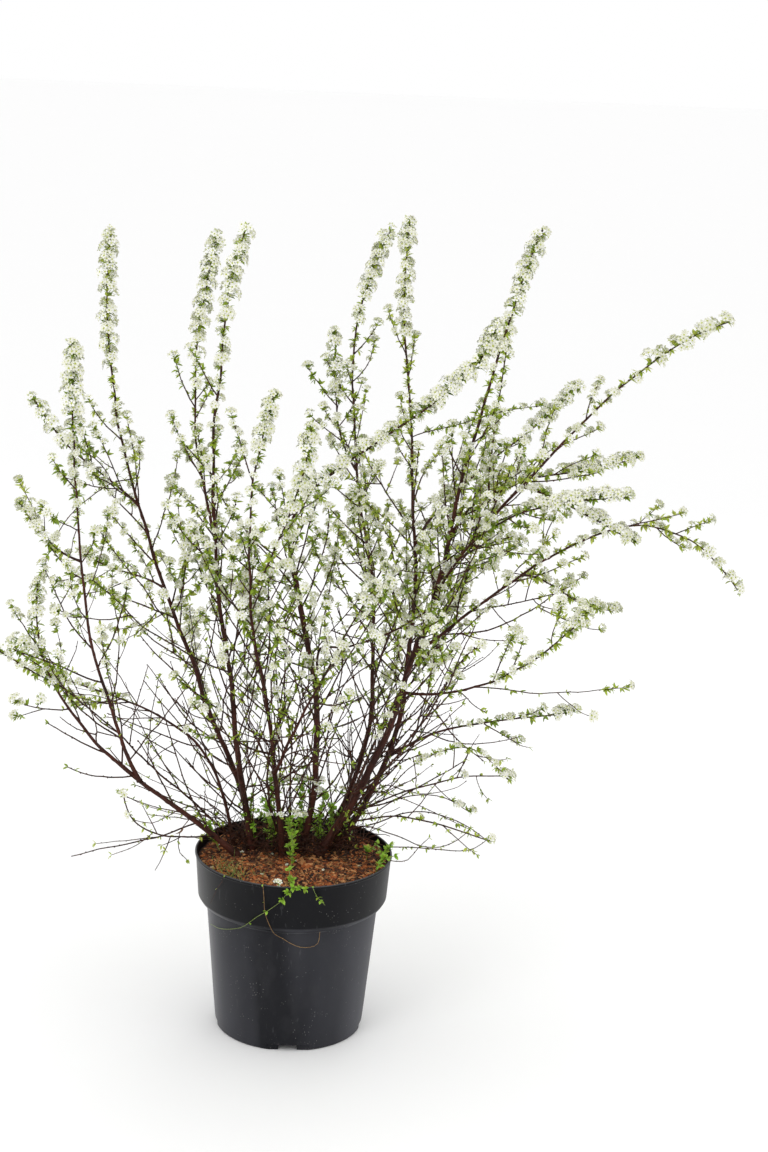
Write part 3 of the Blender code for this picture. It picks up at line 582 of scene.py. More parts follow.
class Limb:

    def __init__(self, name, plan):
        self.name = name
        self.plan = plan
        self.parent = limbs.get(plan.get("parent"))
        if self.parent:
            start = self.parent.point(plan["at"])
        else:
            start = Vector((*plan["foot"], soilHigh.z + clearance))
        tip = Vector(plan["tip"])
        self.corners = (start, start + Vector(plan["lift"]), tip + Vector(plan["droop"]), tip)
        self.base = plan["thick"] / 2 * woodSet["slender"]
        self.tipRadius = plan.get("tipThick", 2 * woodSet["tipRadius"]) / 2
        steps = woodSet["lengthSteps"]
        line = [self.point(step / steps) for step in range(steps + 1)]
        self.length = sum((b - a).length for a, b in zip(line, line[1:]))
        self.leafy = plan["leafy"]
        self.shift = self.parent.wandering(plan["at"]) - start if self.parent else Vector()

    def point(self, share):
        start, first, second, tip = self.corners
        rest = 1 - share
        near = start * rest**3 + first * (3 * rest * rest * share)
        return near + second * (3 * rest * share * share) + tip * share**3

    def way(self, share):
        start, first, second, tip = self.corners
        rest = 1 - share
        slope = (first - start) * rest**2 + (second - first) * (2 * rest * share)
        return (slope + (tip - second) * share**2).normalized()

    def wandering(self, share):  # the real line: small crooks that vanish at the limb's two ends
        ends = woodSet["calmEnds"]
        calm = min(1.0, ends * share, ends * (1 - share)) if self.leafy < 1 else min(1.0, ends * share)
        along, across = woodSet["crookSeeds"]
        seat = Vector((share * self.length * woodSet["crookScale"], along * self.corners[3].x,
                       across * self.corners[3].y))
        crook = noise.noise_vector(seat) * woodSet["wander"]
        crook += noise.noise_vector(seat * woodSet["swayScale"]) * (woodSet["sway"] * min(1.0, self.length))
        shift = self.shift * max(0.0, 1 - share) ** woodSet["shiftFade"]
        return self.point(share) + crook * max(0.0, calm) + shift

    def radius(self, share):
        away = max(0.0, share) * self.length
        plain = self.base + (self.tipRadius - self.base) * max(0.0, share)**woodSet["taper"]
        if self.parent:
            if self.plan["at"] == 1:
                return plain
            return plain * (1 + woodSet["forkShare"] * math.exp(-away / woodSet["forkReach"]))
        return plain * (1 + woodSet["flareShare"] * math.exp(-away / woodSet["flareReach"]))

    def node(self):
        return f"bough_{self.name}" if self.parent else f"stem_{self.name}"

    def mass(self):
        return self.name if self.name.startswith("spray") else f"blossom_{self.name}"


def sprayLimb(parent, at, heading, rise, length):
    flat, climb = math.radians(heading), math.radians(rise)
    out = Vector((math.cos(flat), math.sin(flat), 0))
    way = out * math.cos(climb) + Vector((0, 0, math.sin(climb)))
    bend = Vector((0, 0, spraySet["bend"] * length))
    return dict(
        parent=parent, at=at, lift=out * (spraySet["handle"] * length) + bend,
        tip=limbs[parent].point(at) + way * length, droop=-way * (spraySet["handle"] * length) - bend,
        thick=spraySet["thick"], leafy=0.0, sleeve=spraySet["sleeve"], twig=spraySet["twig"],
        full=1, green=0, sparse=parent == "front_left",
    )


limbs = {}
for limbName, limbNumbers in limbPlan.items():
    limbs[limbName] = Limb(limbName, limbNumbers)
for limbName, limbNumbers in sprayPlan.items():
    limbs[limbName] = Limb(limbName, sprayLimb(*limbNumbers))


def squareTo(way):
    side = way.cross(Vector(offAxis))
    if side.length < 0.2:
        side = way.cross(Vector((1, 0, 0)))
    side.normalize()
    return side, way.cross(side).normalized()


reliefSet = {
    "lumps": 0.075, "lumpScale": 130.0, "ridges": 0.065, "ridgeScale": 26.0,
    "ridgeRound": 1.6, "ridgeSeed": 9, "knotStep": 0.024, "knotRise": 0.0011, "knotReach": 0.0032,
    "knotTurn": 2.4, "knotNarrow": 4,
}


def barkPiece(limb):
    sides = woodSet["boughSides"] if limb.parent else woodSet["stemSides"]
    first = 0.0 if limb.parent else -woodSet["rooted"] / limb.length  # a stem's foot goes into the soil
    rings = max(6, int((limb.leafy - first) * limb.length / woodSet["ringStep"]))
    bm = bmesh.new()
    bm.loops.layers.uv.new("UVMap")
    bmesh.ops.create_grid(bm, x_segments=sides, y_segments=rings, size=0.5, calc_uvs=True)
    frames = {}
    side = squareTo(limb.way(max(0.0, first)))[0]
    for index in range(rings + 1):
        share = first + (limb.leafy - first) * index / rings
        way = limb.way(share)
        side = (side - way * side.dot(way)).normalized()
        frames[index] = (limb.wandering(share), side.copy(), way.cross(side), limb.radius(share), share)
    for corner in bm.verts:  # the grid is rolled into a tube, and its surface raised and sunk
        turn = (corner.co.x + 0.5) * math.tau
        centre, side, across, radius, share = frames[round((corner.co.y + 0.5) * rings)]
        out = side * math.cos(turn) + across * math.sin(turn)
        away = share * limb.length
        seat = centre + out * radius
        lumps = noise.noise(seat * reliefSet["lumpScale"]) * reliefSet["lumps"]
        wide = reliefSet["ridgeRound"]
        ridgeSeat = Vector((math.cos(turn) * wide, math.sin(turn) * wide, away * reliefSet["ridgeScale"]))
        ridgeSeat += limb.corners[0] * reliefSet["ridgeSeed"]
        ridges = noise.noise(ridgeSeat) * reliefSet["ridges"]
        knot = round(away / reliefSet["knotStep"])
        apart = abs(away - knot * reliefSet["knotStep"]) / reliefSet["knotReach"]
        facing = max(0.0, math.cos(turn - knot * reliefSet["knotTurn"])) ** reliefSet["knotNarrow"]
        rise = reliefSet["knotRise"] * math.exp(-apart * apart) * facing * (knot > 0)
        corner.co = centre + out * (radius * (1 + lumps + ridges) + rise)
    uv = bm.loops.layers.uv.active
    for face in bm.faces:
        for loop in face.loops:
            loop[uv].uv.y *= (limb.leafy - first) * limb.length
    bmesh.ops.remove_doubles(bm, verts=bm.verts, dist=0.00002)
    bmesh.ops.holes_fill(bm, edges=[edge for edge in bm.edges if edge.is_boundary], sides=0)
    bmesh.ops.recalc_face_normals(bm, faces=bm.faces)
    piece = asPiece(bm, f"bark_{limb.name}", [bark])
    placed(piece, "bark", limb.node())


for limb in limbs.values():
    if limb.leafy > 0:
        barkPiece(limb)
print("bark: stems and boughs made")

# Growth: twigs, leaves and blossom, by the rule of the solids carried on to finer twigs

goldenTurn = math.radians(137.5)
umbelSet = {
    "flowers": (8, 12), "stalk": 0.0062, "pedicel": 0.0102, "spread": math.radians(74),
    "petal": 0.0052, "stalkThick": 0.0010, "pedicelThick": 0.0007, "bud": 0.0032,
    "rise": 0.42, "room": 0.012, "stalkVary": (0.7, 1.4), "fewer": (0.15, 0.85), "flatter": (0.72, 0.28),
    "leanVary": (0.88, 1.12), "reachVary": (0.85, 1.12), "petalVary": (0.86, 1.1), "budVary": (0.7, 1.1),
    "smaller": (0.6, 0.4), "facing": 0.45, "unruly": 0.14, "open": 0.6, "shades": (0, 0, 1, 2),
    "leaves": (5, 6, 6, 7), "leafLean": (25, 80), "leafSize": 1.05,
}
tuftSet = {
    "leaf": (0.008, 0.0145), "lean": (22, 62), "alike": 0.55, "sprigAlike": 0.3, "narrow": 0.7,
    "waver": 0.35, "room": 0.003,
}
knotSet = {
    "step": 0.011, "wandStep": 0.016, "lean": math.radians(70), "size": (1.2, 1.8), "sunk": 0.8,
    "slant": 0.5, "long": 1.15, "spacing": (0.75, 1.3),
}
sleeveSet = {  # the thick blossom towards a limb's tip
    "step": (0.0062, 0.0099), "spacing": (0.8, 1.2), "lean": math.radians(66), "size": (0.84, 6, 1.12),
    "thinner": 0.20, "sizeVary": (0.9, 1.08), "tufts": 0.28, "tuft": (4, 6), "tuftSize": 0.95,
    "buds": (0.05, 0.25, 0.03),
}
openSet = {  # below the sleeve: twigs, heads of blossom and tufts of leaves
    "step": 0.0098, "spacing": (0.75, 1.25), "twigs": 0.15, "twigLean": math.radians(42), "twig": 0.060,
    "twigVary": (0.5, 1.5), "leanVary": (0.85, 1.15), "twigRadius": 0.0012, "twigBlooms": (0.15, 0.5),
    "heads": 0.56, "headSize": (0.44, 0.70), "buds": 0.12, "tuft": (6, 9),
}
sparseSet = {  # the lowest twigs, which are nearly bare
    "sleeve": 0.4, "twigs": 0.16, "twig": (0.03, 0.11), "twigRadius": 0.0009, "heads": 0.30,
    "headsFrom": 0.45, "headSize": (0.45, 0.70), "tufts": 0.62, "tuft": (2, 4), "tuftSize": 0.75,
}
fineSet = {  # along a fine twig
    "step": 0.015, "bend": 0.40, "upright": 0.35, "freely": 0.65, "crook": 0.070, "room": (0.004, 0.003),
    "thin": 0.55, "sixSidedFrom": 0.0018, "first": 0.010, "last": 0.002, "lean": math.radians(60),
    "spacing": (0.75, 1.3), "flowerStep": 0.0090, "bareStep": 0.0130, "heads": 0.40,
    "headSize": (0.38, 0.60), "buds": 0.14, "tufts": 0.95, "tuft": (5, 8), "tuftSize": 0.90,
    "finer": 0.12, "finerFrom": 0.08, "finerLength": (0.3, 0.55), "green": 0.55, "bareTuft": (2, 4),
    "tipSize": (0.65, 0.85), "tipBuds": 0.20, "bareTip": 0.3,
}
shootSet = {
    "step": 0.019, "low": (0.09, 0.24), "high": (0.08, 0.22), "radius": 0.00145, "lowest": 0.315,
    "bare": 0.46, "full": 0.62, "lean": (24, 60), "whip": (0.17, 0.29), "whips": 0.38,
    "whipsUnder": 0.66, "tame": (0.70, 0.30, 0.60), "leftmost": -0.462, "spacing": (0.5, 1.5),
    "blooms": (0.38, 0.70), "whipBare": 0.16, "green": (0.08, 0.62),
}


def inBox(place, reach):
    spot = np.array(place)
    return np.all(spot - reach > boxLow) and np.all(spot + reach < boxHigh)


def clearOfPot(place, reach):
    return place.z - reach > potHigh.z or math.hypot(place.x, place.y) - reach > potHigh.x


def around(way, turn, lean):
    side, across = squareTo(way)
    out = side * math.cos(turn) + across * math.sin(turn)
    return (way * math.cos(lean) + out * math.sin(lean)).normalized()


class Growth:  # what grows on one limb

    def __init__(self, owner, limb, heaps):
        self.limb = limb
        self.twigs, self.leaves, self.flowers = (heaps[kind] for kind in ("twigs", "leaves", "flowers"))
        self.draw = random.Random(seed * 1000 + owner)
        self.tint = self.draw.randrange(leafSet["inCrown"])

    def any(self):
        return Vector((self.draw.gauss(0, 1), self.draw.gauss(0, 1), self.draw.gauss(0, 1)))

    def vary(self, span):
        return self.draw.uniform(*span)

    def anyTurn(self):
        return self.draw.uniform(0, math.tau)

    def fits(self, place, reach):
        return inBox(place, reach) and clearOfPot(place, reach)

    def leaf(self, root, way, length):
        if not self.fits(root + way * length, tuftSet["room"]):
            return
        ofSprig = self.tint == leafSet["inCrown"]
        alike = self.draw.random() < tuftSet["alike"] + tuftSet["sprigAlike"] * ofSprig
        shade = self.tint if alike else self.draw.randrange(leafSet["inCrown"])
        narrow = not ofSprig and self.draw.random() < tuftSet["narrow"]
        shape = "roundLeaf" if ofSprig else "narrowLeaf" if narrow else "broadLeaf"
        up = Vector((0, 0, 1)) + self.any() * tuftSet["waver"]
        self.leaves.put(shape, root, way, up, (length, length, length), shade)

    def tuft(self, root, way, count, size=1.0):
        turn = self.anyTurn()
        for _ in range(count):
            turn += goldenTurn
            out = around(way, turn, math.radians(self.vary(tuftSet["lean"])))
            self.leaf(root, out, self.vary(tuftSet["leaf"]) * size)

    def umbel(self, root, way, size, budShare):
        lifted = way.z if way.z > 0 else -0.4 * way.z  # heads stand on the upper side of a slanting twig
        way = Vector((way.x, way.y, lifted + umbelSet["rise"])).normalized()
        stalk = umbelSet["stalk"] * size * self.vary(umbelSet["stalkVary"])
        crown = root + way * stalk
        if not self.fits(crown, umbelSet["room"] * size):
            return
        thick = umbelSet["stalkThick"]
        self.leaves.put("stalk", root, way, self.any(), (thick, thick, stalk * 1.05))
        fewest, more = umbelSet["fewer"]
        count = round(self.draw.randint(*umbelSet["flowers"]) * min(1.0, fewest + more * size))
        flattest, rounder = umbelSet["flatter"]  # small heads are flatter
        spread = umbelSet["spread"] * (flattest + rounder * min(1.0, size))
        turn = self.anyTurn()
        shade = self.draw.choice(umbelSet["shades"])
        for index in range(count):
            turn += goldenTurn
            share = (index + 0.5) / count
            lean = math.acos(1 - share * (1 - math.cos(spread)))
            out = around(way, turn, lean * self.vary(umbelSet["leanVary"]))
            reach = umbelSet["pedicel"] * size * self.vary(umbelSet["reachVary"])
            head = crown + out * reach
            if not inBox(head, umbelSet["petal"] * 1.15):
                continue
            thin = umbelSet["pedicelThick"]
            if index % 2 == 0:
                self.leaves.put("stalk", crown, out, self.any(), (thin, thin, reach))
            facing = (out + way * umbelSet["facing"] + self.any() * umbelSet["unruly"]).normalized()
            if self.draw.random() < budShare:
                bud = umbelSet["bud"] * self.vary(umbelSet["budVary"])
                self.flowers.put("bud", head, facing, self.any(), (bud, bud, bud))
                continue
            smallest, larger = umbelSet["smaller"]
            petal = umbelSet["petal"] * self.vary(umbelSet["petalVary"]) * (smallest + larger * size)
            shape = "openFlower" if self.draw.random() < umbelSet["open"] else "cupFlower"
            self.flowers.put(shape, head, facing, self.any(), (petal, petal, petal), shade)
        for _ in range(self.draw.choice(umbelSet["leaves"])):
            out = around(way, self.anyTurn(), math.radians(self.vary(umbelSet["leafLean"])))
            self.leaf(root, out, self.vary(tuftSet["leaf"]) * umbelSet["leafSize"] * size)

    def knots(self, points, radius, step=knotSet["step"]):
        walked, turn = step * self.draw.random(), self.anyTurn()
        for low, high in zip(points, points[1:]):
            length = (high - low).length
            way = (high - low).normalized()
            while walked < length:
                turn += goldenTurn
                out = around(way, turn, knotSet["lean"])
                size = radius * self.vary(knotSet["size"])
                place = low + way * walked + out * radius * knotSet["sunk"]
                heading = way + out * knotSet["slant"]
                self.twigs.put("knot", place, heading, out, (size, size, size * knotSet["long"]))
                walked += step * self.vary(knotSet["spacing"])
            walked -= length

    def twig(self, root, way, length, radius, flowersFrom, green, depth=0, pull=None):
        # bends up and to its limb's way, with heads of blossom from a share of its length
        steps = max(3, int(length / fineSet["step"]))
        points, place, heading = [root.copy()], root.copy(), way.copy()
        lift = Vector((0, 0, fineSet["upright"])) + (pull or Vector((0, 0, fineSet["freely"])))
        for _ in range(steps):
            bend = lift * (fineSet["bend"] / steps)
            heading = (heading + bend + self.any() * fineSet["crook"]).normalized()
            place = place + heading * (length / steps)
            points.append(place.copy())
        atTip, atMiddle = fineSet["room"]
        inside = self.fits(points[-1], atTip) and self.fits(points[len(points) // 2], atMiddle)
        if inside and points[-1].x >= shootSet["leftmost"]:
            self.dressed(points, radius, flowersFrom, green, depth)

    def dressed(self, points, radius, flowersFrom, green, depth=0, thin=fineSet["thin"]):
        steps = len(points) - 1
        length = sum((b - a).length for a, b in zip(points, points[1:]))
        radii = [radius * (1 - (1 - thin) * at / steps) for at in range(steps + 1)]
        self.twigs.tube(points, radii, 4 if radius < fineSet["sixSidedFrom"] else 6, "twig")
        self.knots(points, radius)
        walked, turn = fineSet["first"], self.anyTurn()
        while walked < length - fineSet["last"]:
            at = min(steps - 1, int(walked / length * steps))
            spot = points[at].lerp(points[at + 1], walked / length * steps - at)
            turn += goldenTurn
            out = around((points[at + 1] - points[at]).normalized(), turn, fineSet["lean"])
            pick = self.draw.random()
            if walked > flowersFrom * length:
                if pick < fineSet["heads"]:
                    self.umbel(spot, out, self.vary(fineSet["headSize"]), fineSet["buds"])
                elif pick < fineSet["tufts"]:
                    self.tuft(spot, out, self.draw.randint(*fineSet["tuft"]), fineSet["tuftSize"])
                walked += fineSet["flowerStep"] * self.vary(fineSet["spacing"])
                continue
            if depth == 0 and length > fineSet["finerFrom"] and pick < fineSet["finer"]:
                finer = length * self.vary(fineSet["finerLength"])
                self.twig(spot, out, finer, radius * 0.75, min(1.0, flowersFrom + 0.1), green, 1)
            elif pick < fineSet["finer"] + fineSet["green"] * green:
                self.tuft(spot, out, self.draw.randint(*fineSet["bareTuft"]), 0.55 + 0.4 * green)
            walked += fineSet["bareStep"] * self.vary(fineSet["spacing"])
        end = (points[-1] - points[-2]).normalized()
        if flowersFrom < 1:
            self.umbel(points[-1], end, self.vary(fineSet["tipSize"]), fineSet["tipBuds"])
            self.tuft(points[-1], end, 4, 0.8)
        elif self.draw.random() < fineSet["bareTip"] + green:
            self.tuft(points[-1], end, self.draw.randint(3, 5), 0.7)

    def wand(self):  # the limb's own line, through its leafy stretch
        limb = self.limb
        count = max(6, int((1 - limb.leafy) * limb.length / 0.007))
        shares = [limb.leafy + (1 - limb.leafy) * index / count for index in range(count + 1)]
        points = [limb.wandering(share) for share in shares]
        radii = [limb.radius(share) * (1 + 0.10 * self.draw.uniform(-1, 1)) for share in shares]
        self.twigs.tube(points, radii, 8, "twig")
        self.knots(points, limb.radius(0.5 + limb.leafy / 2), knotSet["wandStep"])

    def leafyStretch(self):
        limb = self.limb
        sparse = limb.plan["sparse"]
        span = (1 - limb.leafy) * limb.length
        sleeveFrom = 1 - (1 - limb.leafy) * limb.plan["sleeve"] * (sparseSet["sleeve"] if sparse else 1)
        turn = self.anyTurn()
        walked = 0.008 if limb.leafy > 0 else 0.022
        while walked < span - 0.004:
            share = limb.leafy + (1 - limb.leafy) * walked / span
            turn += goldenTurn
            root = limb.wandering(share)
            way = around(limb.way(share), turn, sleeveSet["lean"])
            if share >= sleeveFrom:
                walked += self.sleeve(root, way, share, (1 - share) / (1 - sleeveFrom))
                continue
            if sparse:
                self.sparsely(root, way, share)
            else:
                self.openly(root, way, share, turn)
            walked += openSet["step"] * self.vary(openSet["spacing"])
        self.umbel(limb.point(1) - limb.way(1) * 0.004, limb.way(1), 0.75, 0.35)
        self.tuft(limb.point(1) - limb.way(1) * 0.003, limb.way(1), 4, 0.7)

    def sleeve(self, root, way, share, thinning):  # one head or tuft, and the way on to the next
        fromTip = (1 - share) * self.limb.length
        least, growing, most = sleeveSet["size"]
        size = min(most, least + growing * fromTip) * (1 - sleeveSet["thinner"] * thinning)
        size = size * self.vary(sleeveSet["sizeVary"]) * self.limb.plan["full"]
        if self.draw.random() < sleeveSet["tufts"] * thinning + self.limb.plan["green"]:
            self.tuft(root, way, self.draw.randint(*sleeveSet["tuft"]), sleeveSet["tuftSize"])
        else:
            few, more, reach = sleeveSet["buds"]  # the last flowers are still in bud
            self.umbel(root, way, size, few + more * math.exp(-fromTip / reach))
        close, apart = sleeveSet["step"]
        return (close + (apart - close) * thinning) * self.vary(sleeveSet["spacing"])

    def sparsely(self, root, way, share):
        limb = self.limb
        pick = self.draw.random()
        if pick < sparseSet["twigs"] and limb.plan["thick"] < 0.005:
            length = self.vary(sparseSet["twig"])
            self.twig(root, way, length, sparseSet["twigRadius"], 1.0, 0.4, 1, limb.way(share))
        elif pick < sparseSet["heads"] and share > sparseSet["headsFrom"]:
            self.umbel(root, way, self.vary(sparseSet["headSize"]), 0.2)
        elif pick < sparseSet["tufts"]:
            self.tuft(root, way, self.draw.randint(*sparseSet["tuft"]), sparseSet["tuftSize"])

    def openly(self, root, way, share, turn):
        limb = self.limb
        pick = self.draw.random()
        if pick < openSet["twigs"]:
            length = limb.plan.get("twig", openSet["twig"]) * self.vary(openSet["twigVary"])
            way = around(limb.way(share), turn, openSet["twigLean"] * self.vary(openSet["leanVary"]))
            radius = min(openSet["twigRadius"], 0.8 * limb.radius(share))
            self.twig(root, way, length, radius, self.vary(openSet["twigBlooms"]), 0.8, 0, limb.way(share))
        elif pick < openSet["heads"]:
            self.umbel(root, way, self.vary(openSet["headSize"]), openSet["buds"])
        else:
            self.tuft(root, way, self.draw.randint(*openSet["tuft"]), 1.0)

    def shoots(self):  # fine twigs on the bare wood: bare ones low down, and blossoming ones above
        limb = self.limb
        spacing = limb.plan.get("shoots", shootSet["step"])
        walked = spacing
        turn = self.anyTurn()
        tameFrom, tameSpan, tamed = shootSet["tame"]  # shoots high on a limb stay short
        fewGreen, moreGreen = shootSet["green"]
        while walked < limb.leafy * limb.length:
            share = walked / limb.length
            turn += goldenTurn
            walked += spacing * self.vary(shootSet["spacing"])
            root = limb.wandering(share)
            if root.z < shootSet["lowest"]:
                continue
            full = (root.z - shootSet["bare"]) / (shootSet["full"] - shootSet["bare"])
            full = max(0.0, min(1.0, full))
            blooms = self.draw.random() < full
            whip = blooms and root.z < shootSet["whipsUnder"] and self.draw.random() < shootSet["whips"]
            length = self.vary(shootSet["whip" if whip else "high" if blooms else "low"])
            length *= 1 - tamed * max(0.0, min(1.0, (root.z - tameFrom) / tameSpan))
            way = around(limb.way(share), turn, math.radians(self.vary(shootSet["lean"])))
            radius = min(shootSet["radius"], 0.6 * limb.radius(share))
            flowersFrom = self.vary(shootSet["blooms"]) + shootSet["whipBare"] * whip if blooms else 1.0
            green = fewGreen + moreGreen * full
            self.twig(root, way, length, radius, flowersFrom, green, 0, limb.way(share))


def newHeaps():
    return {kind: Heap() for kind in ("twigs", "leaves", "flowers")}


def joinHeaps(part, heaps, replaced):
    for kind, heap in heaps.items():
        joined(f"{kind}_{part}", heap.build(), replaced, "bark" if kind == "twigs" else "blossom")


def growCrown():
    order = {name: owner for owner, name in enumerate(limbs)}
    for part, names in crownParts.items():
        heaps = newHeaps()
        replaced = []
        for name in names:
            growth = Growth(order[name], limbs[name], heaps)
            if limbs[name].leafy < 1:
                growth.wand()
                growth.leafyStretch()
                replaced.append(limbs[name].mass())
            if limbs[name].leafy > 0:
                growth.shoots()
        joinHeaps(part, heaps, replaced)


growCrown()

# Pot

potSet = {
    "height": potHigh.z, "rim": potHigh.x, "collarHeight": 0.072, "collarFoot": 0.1535, "chamfer": 0.013,
    "bulge": 0.0039, "wallTop": 0.1405, "base": 0.1207, "baseEdge": 0.004, "wall": 0.003, "lip": 0.0045,
    "lipRound": 0.0010, "floor": 0.016, "steps": 176, "drains": 4, "notchWidth": 0.070,
    "notchDepth": 0.007, "channelWidth": 0.030, "channelLength": 0.062, "channelHeight": 0.011,
    "holeRadius": 0.006, "holeInset": 0.0132, "reach": 0.040, "sharpFrom": math.radians(24),
}
plasticSet = {
    # the haze colour is a dust film and also a painted sheen, laid in upright bands
    "black": (0.0026, 0.0027, 0.0040), "haze": (0.038, 0.0385, 0.046), "wallTone": (0.024, 0.0248, 0.0305),
    # the colour for the pot's left and right sides is a painted sheen
    "paintedSideSheen": (0.074, 0.075, 0.087), "dust": (0.042, 0.042, 0.046), "speck": (0.260, 0.255, 0.240),
    "wear": (0.115, 0.117, 0.124), "shine": 0.13, "rough": (0.30, 0.46), "relief": (0.12, 0.0010),
    "hazeAndSheenShare": (0.05, 0.95), "wallShare": 0.36, "paintedSheenShare": 0.9, "dustShare": (0.04, 0.22),
    "speckShare": 0.75, "creaseShare": 0.7, "edgeShare": 0.55, "scuffShare": 0.16,
}


def wallRadius(height):
    rise = height / (potSet["height"] - potSet["collarHeight"])
    return potSet["base"] + (potSet["wallTop"] - potSet["base"]) * rise


def innerRadius(height):
    collarAt = potSet["height"] - potSet["collarHeight"]
    if height < collarAt:
        return wallRadius(height) - potSet["wall"]
    rise = (height - collarAt) / potSet["collarHeight"]
    return potSet["collarFoot"] - potSet["wall"] + (potSet["rim"] - potSet["collarFoot"]) * rise


def potLook():
    look = Look("pot_plastic")
    tone = plasticSet
    look.set("Specular IOR Level", tone["shine"])
    collarAt = potSet["height"] - potSet["collarHeight"]
    place = look.place()
    high = look.node("ShaderNodeSeparateXYZ", None, {0: place}, "Z")
    wall = look.between(high, collarAt - 0.004, collarAt, 1.0, 0.0)
    hazeAndSheenBands = look.clouds(look.stretched(place, (1.0, 1.0, 0.10)), 11.0, 2.0, 0.4)  # upright bands of dust haze, which also paint a soft sheen
    dust = look.between(look.clouds(look.stretched(place, (1.0, 1.0, 0.5)), 38.0, 5.0), 0.46, 0.70)
    speck = look.between(look.cells(place, 230.0), 0.06, 0.19, 1.0, 0.0)
    sparse = look.between(look.clouds(place, 46.0, 3.0), 0.54, 0.60)
    scuffs = look.between(look.clouds(look.stretched(place, (1.0, 1.0, 0.25)), 160.0, 3.0), 0.66, 0.74)
    creaseAt = collarAt - potSet["chamfer"]
    crease = look.between(high, creaseAt - 0.0016, creaseAt - 0.0002)
    crease = crease * look.between(high, creaseAt + 0.0004, creaseAt + 0.0018, 1.0, 0.0)
    edge = look.between(high, potSet["height"] - 0.0016, potSet["height"] - 0.0004)
    least, more = tone["hazeAndSheenShare"]  # the collar gets less of these bands of haze and painted sheen than the wall, and is darker
    base = look.blend(look.between(hazeAndSheenBands, 0.40, 0.60) * (least + wall * more), tone["black"], tone["haze"])
    # the wall below the collar is made lighter than the collar
    base = look.blend(wall * tone["wallShare"], base, tone["wallTone"])
    # painted sheen: the wall is made lighter towards its left and right sides, by the square of x, and less
    # so higher up
    across = look.node("ShaderNodeSeparateXYZ", None, {0: place}, "X")
    sides = look.between(across * across, 0.0020, 0.0160) * look.between(high, 0.04, 0.22, 1.0, 0.45)
    base = look.blend(sides * wall * tone["paintedSheenShare"], base, tone["paintedSideSheen"])
    least, more = tone["dustShare"]
    base = look.blend(dust * (least + wall * more), base, tone["dust"])
    base = look.blend(speck * sparse * tone["speckShare"], base, tone["speck"])
    base = look.blend(crease * (0.25 + dust * 0.75) * tone["creaseShare"], base, tone["wear"])
    base = look.blend(edge * tone["edgeShare"], base, tone["wear"])
    look.set("Base Color", look.blend(scuffs * tone["scuffShare"], base, tone["wear"]))
    look.set("Roughness", look.between(hazeAndSheenBands, 0.3, 0.7, *tone["rough"]))
    grain = look.clouds(place, 900.0, 2.0)
    look.bump(grain * 0.5 + hazeAndSheenBands * 0.8, *tone["relief"])
    return look.material


def turnedPiece(profile, steps, name, material):
    bm = bmesh.new()
    points = [bm.verts.new((radius, 0, height)) for radius, height in profile]
    edges = [bm.edges.new(pair) for pair in zip(points, points[1:])]
    bmesh.ops.spin(
        bm, geom=points + edges, cent=(0, 0, 0), axis=(0, 0, 1), dvec=(0, 0, 0),
        angle=math.tau, steps=steps, use_merge=True,
    )
    bmesh.ops.remove_doubles(bm, verts=bm.verts, dist=0.00001)
    bmesh.ops.recalc_face_normals(bm, faces=bm.faces)
    return asPiece(bm, name, [material])


def cutterPiece(size, middle, turn, sides=0):
    bm = bmesh.new()
    if sides:
        bmesh.ops.create_cone(bm, cap_ends=True, segments=sides, radius1=size, radius2=size, depth=0.08)
    else:
        bmesh.ops.create_cube(bm, size=1)
        bmesh.ops.scale(bm, vec=size, verts=bm.verts)
        upright = [edge for edge in bm.edges if abs(edge.verts[0].co.z - edge.verts[1].co.z) > 0.001]
        bmesh.ops.bevel(
            bm, geom=upright, offset=0.003, segments=3, profile=0.5, affect="EDGES", material=-1,
        )
    bmesh.ops.translate(bm, vec=middle, verts=bm.verts)
    bmesh.ops.rotate(bm, cent=(0, 0, 0), matrix=Matrix.Rotation(turn, 3, "Z"), verts=bm.verts)
    return asPiece(bm, "cutter", [])


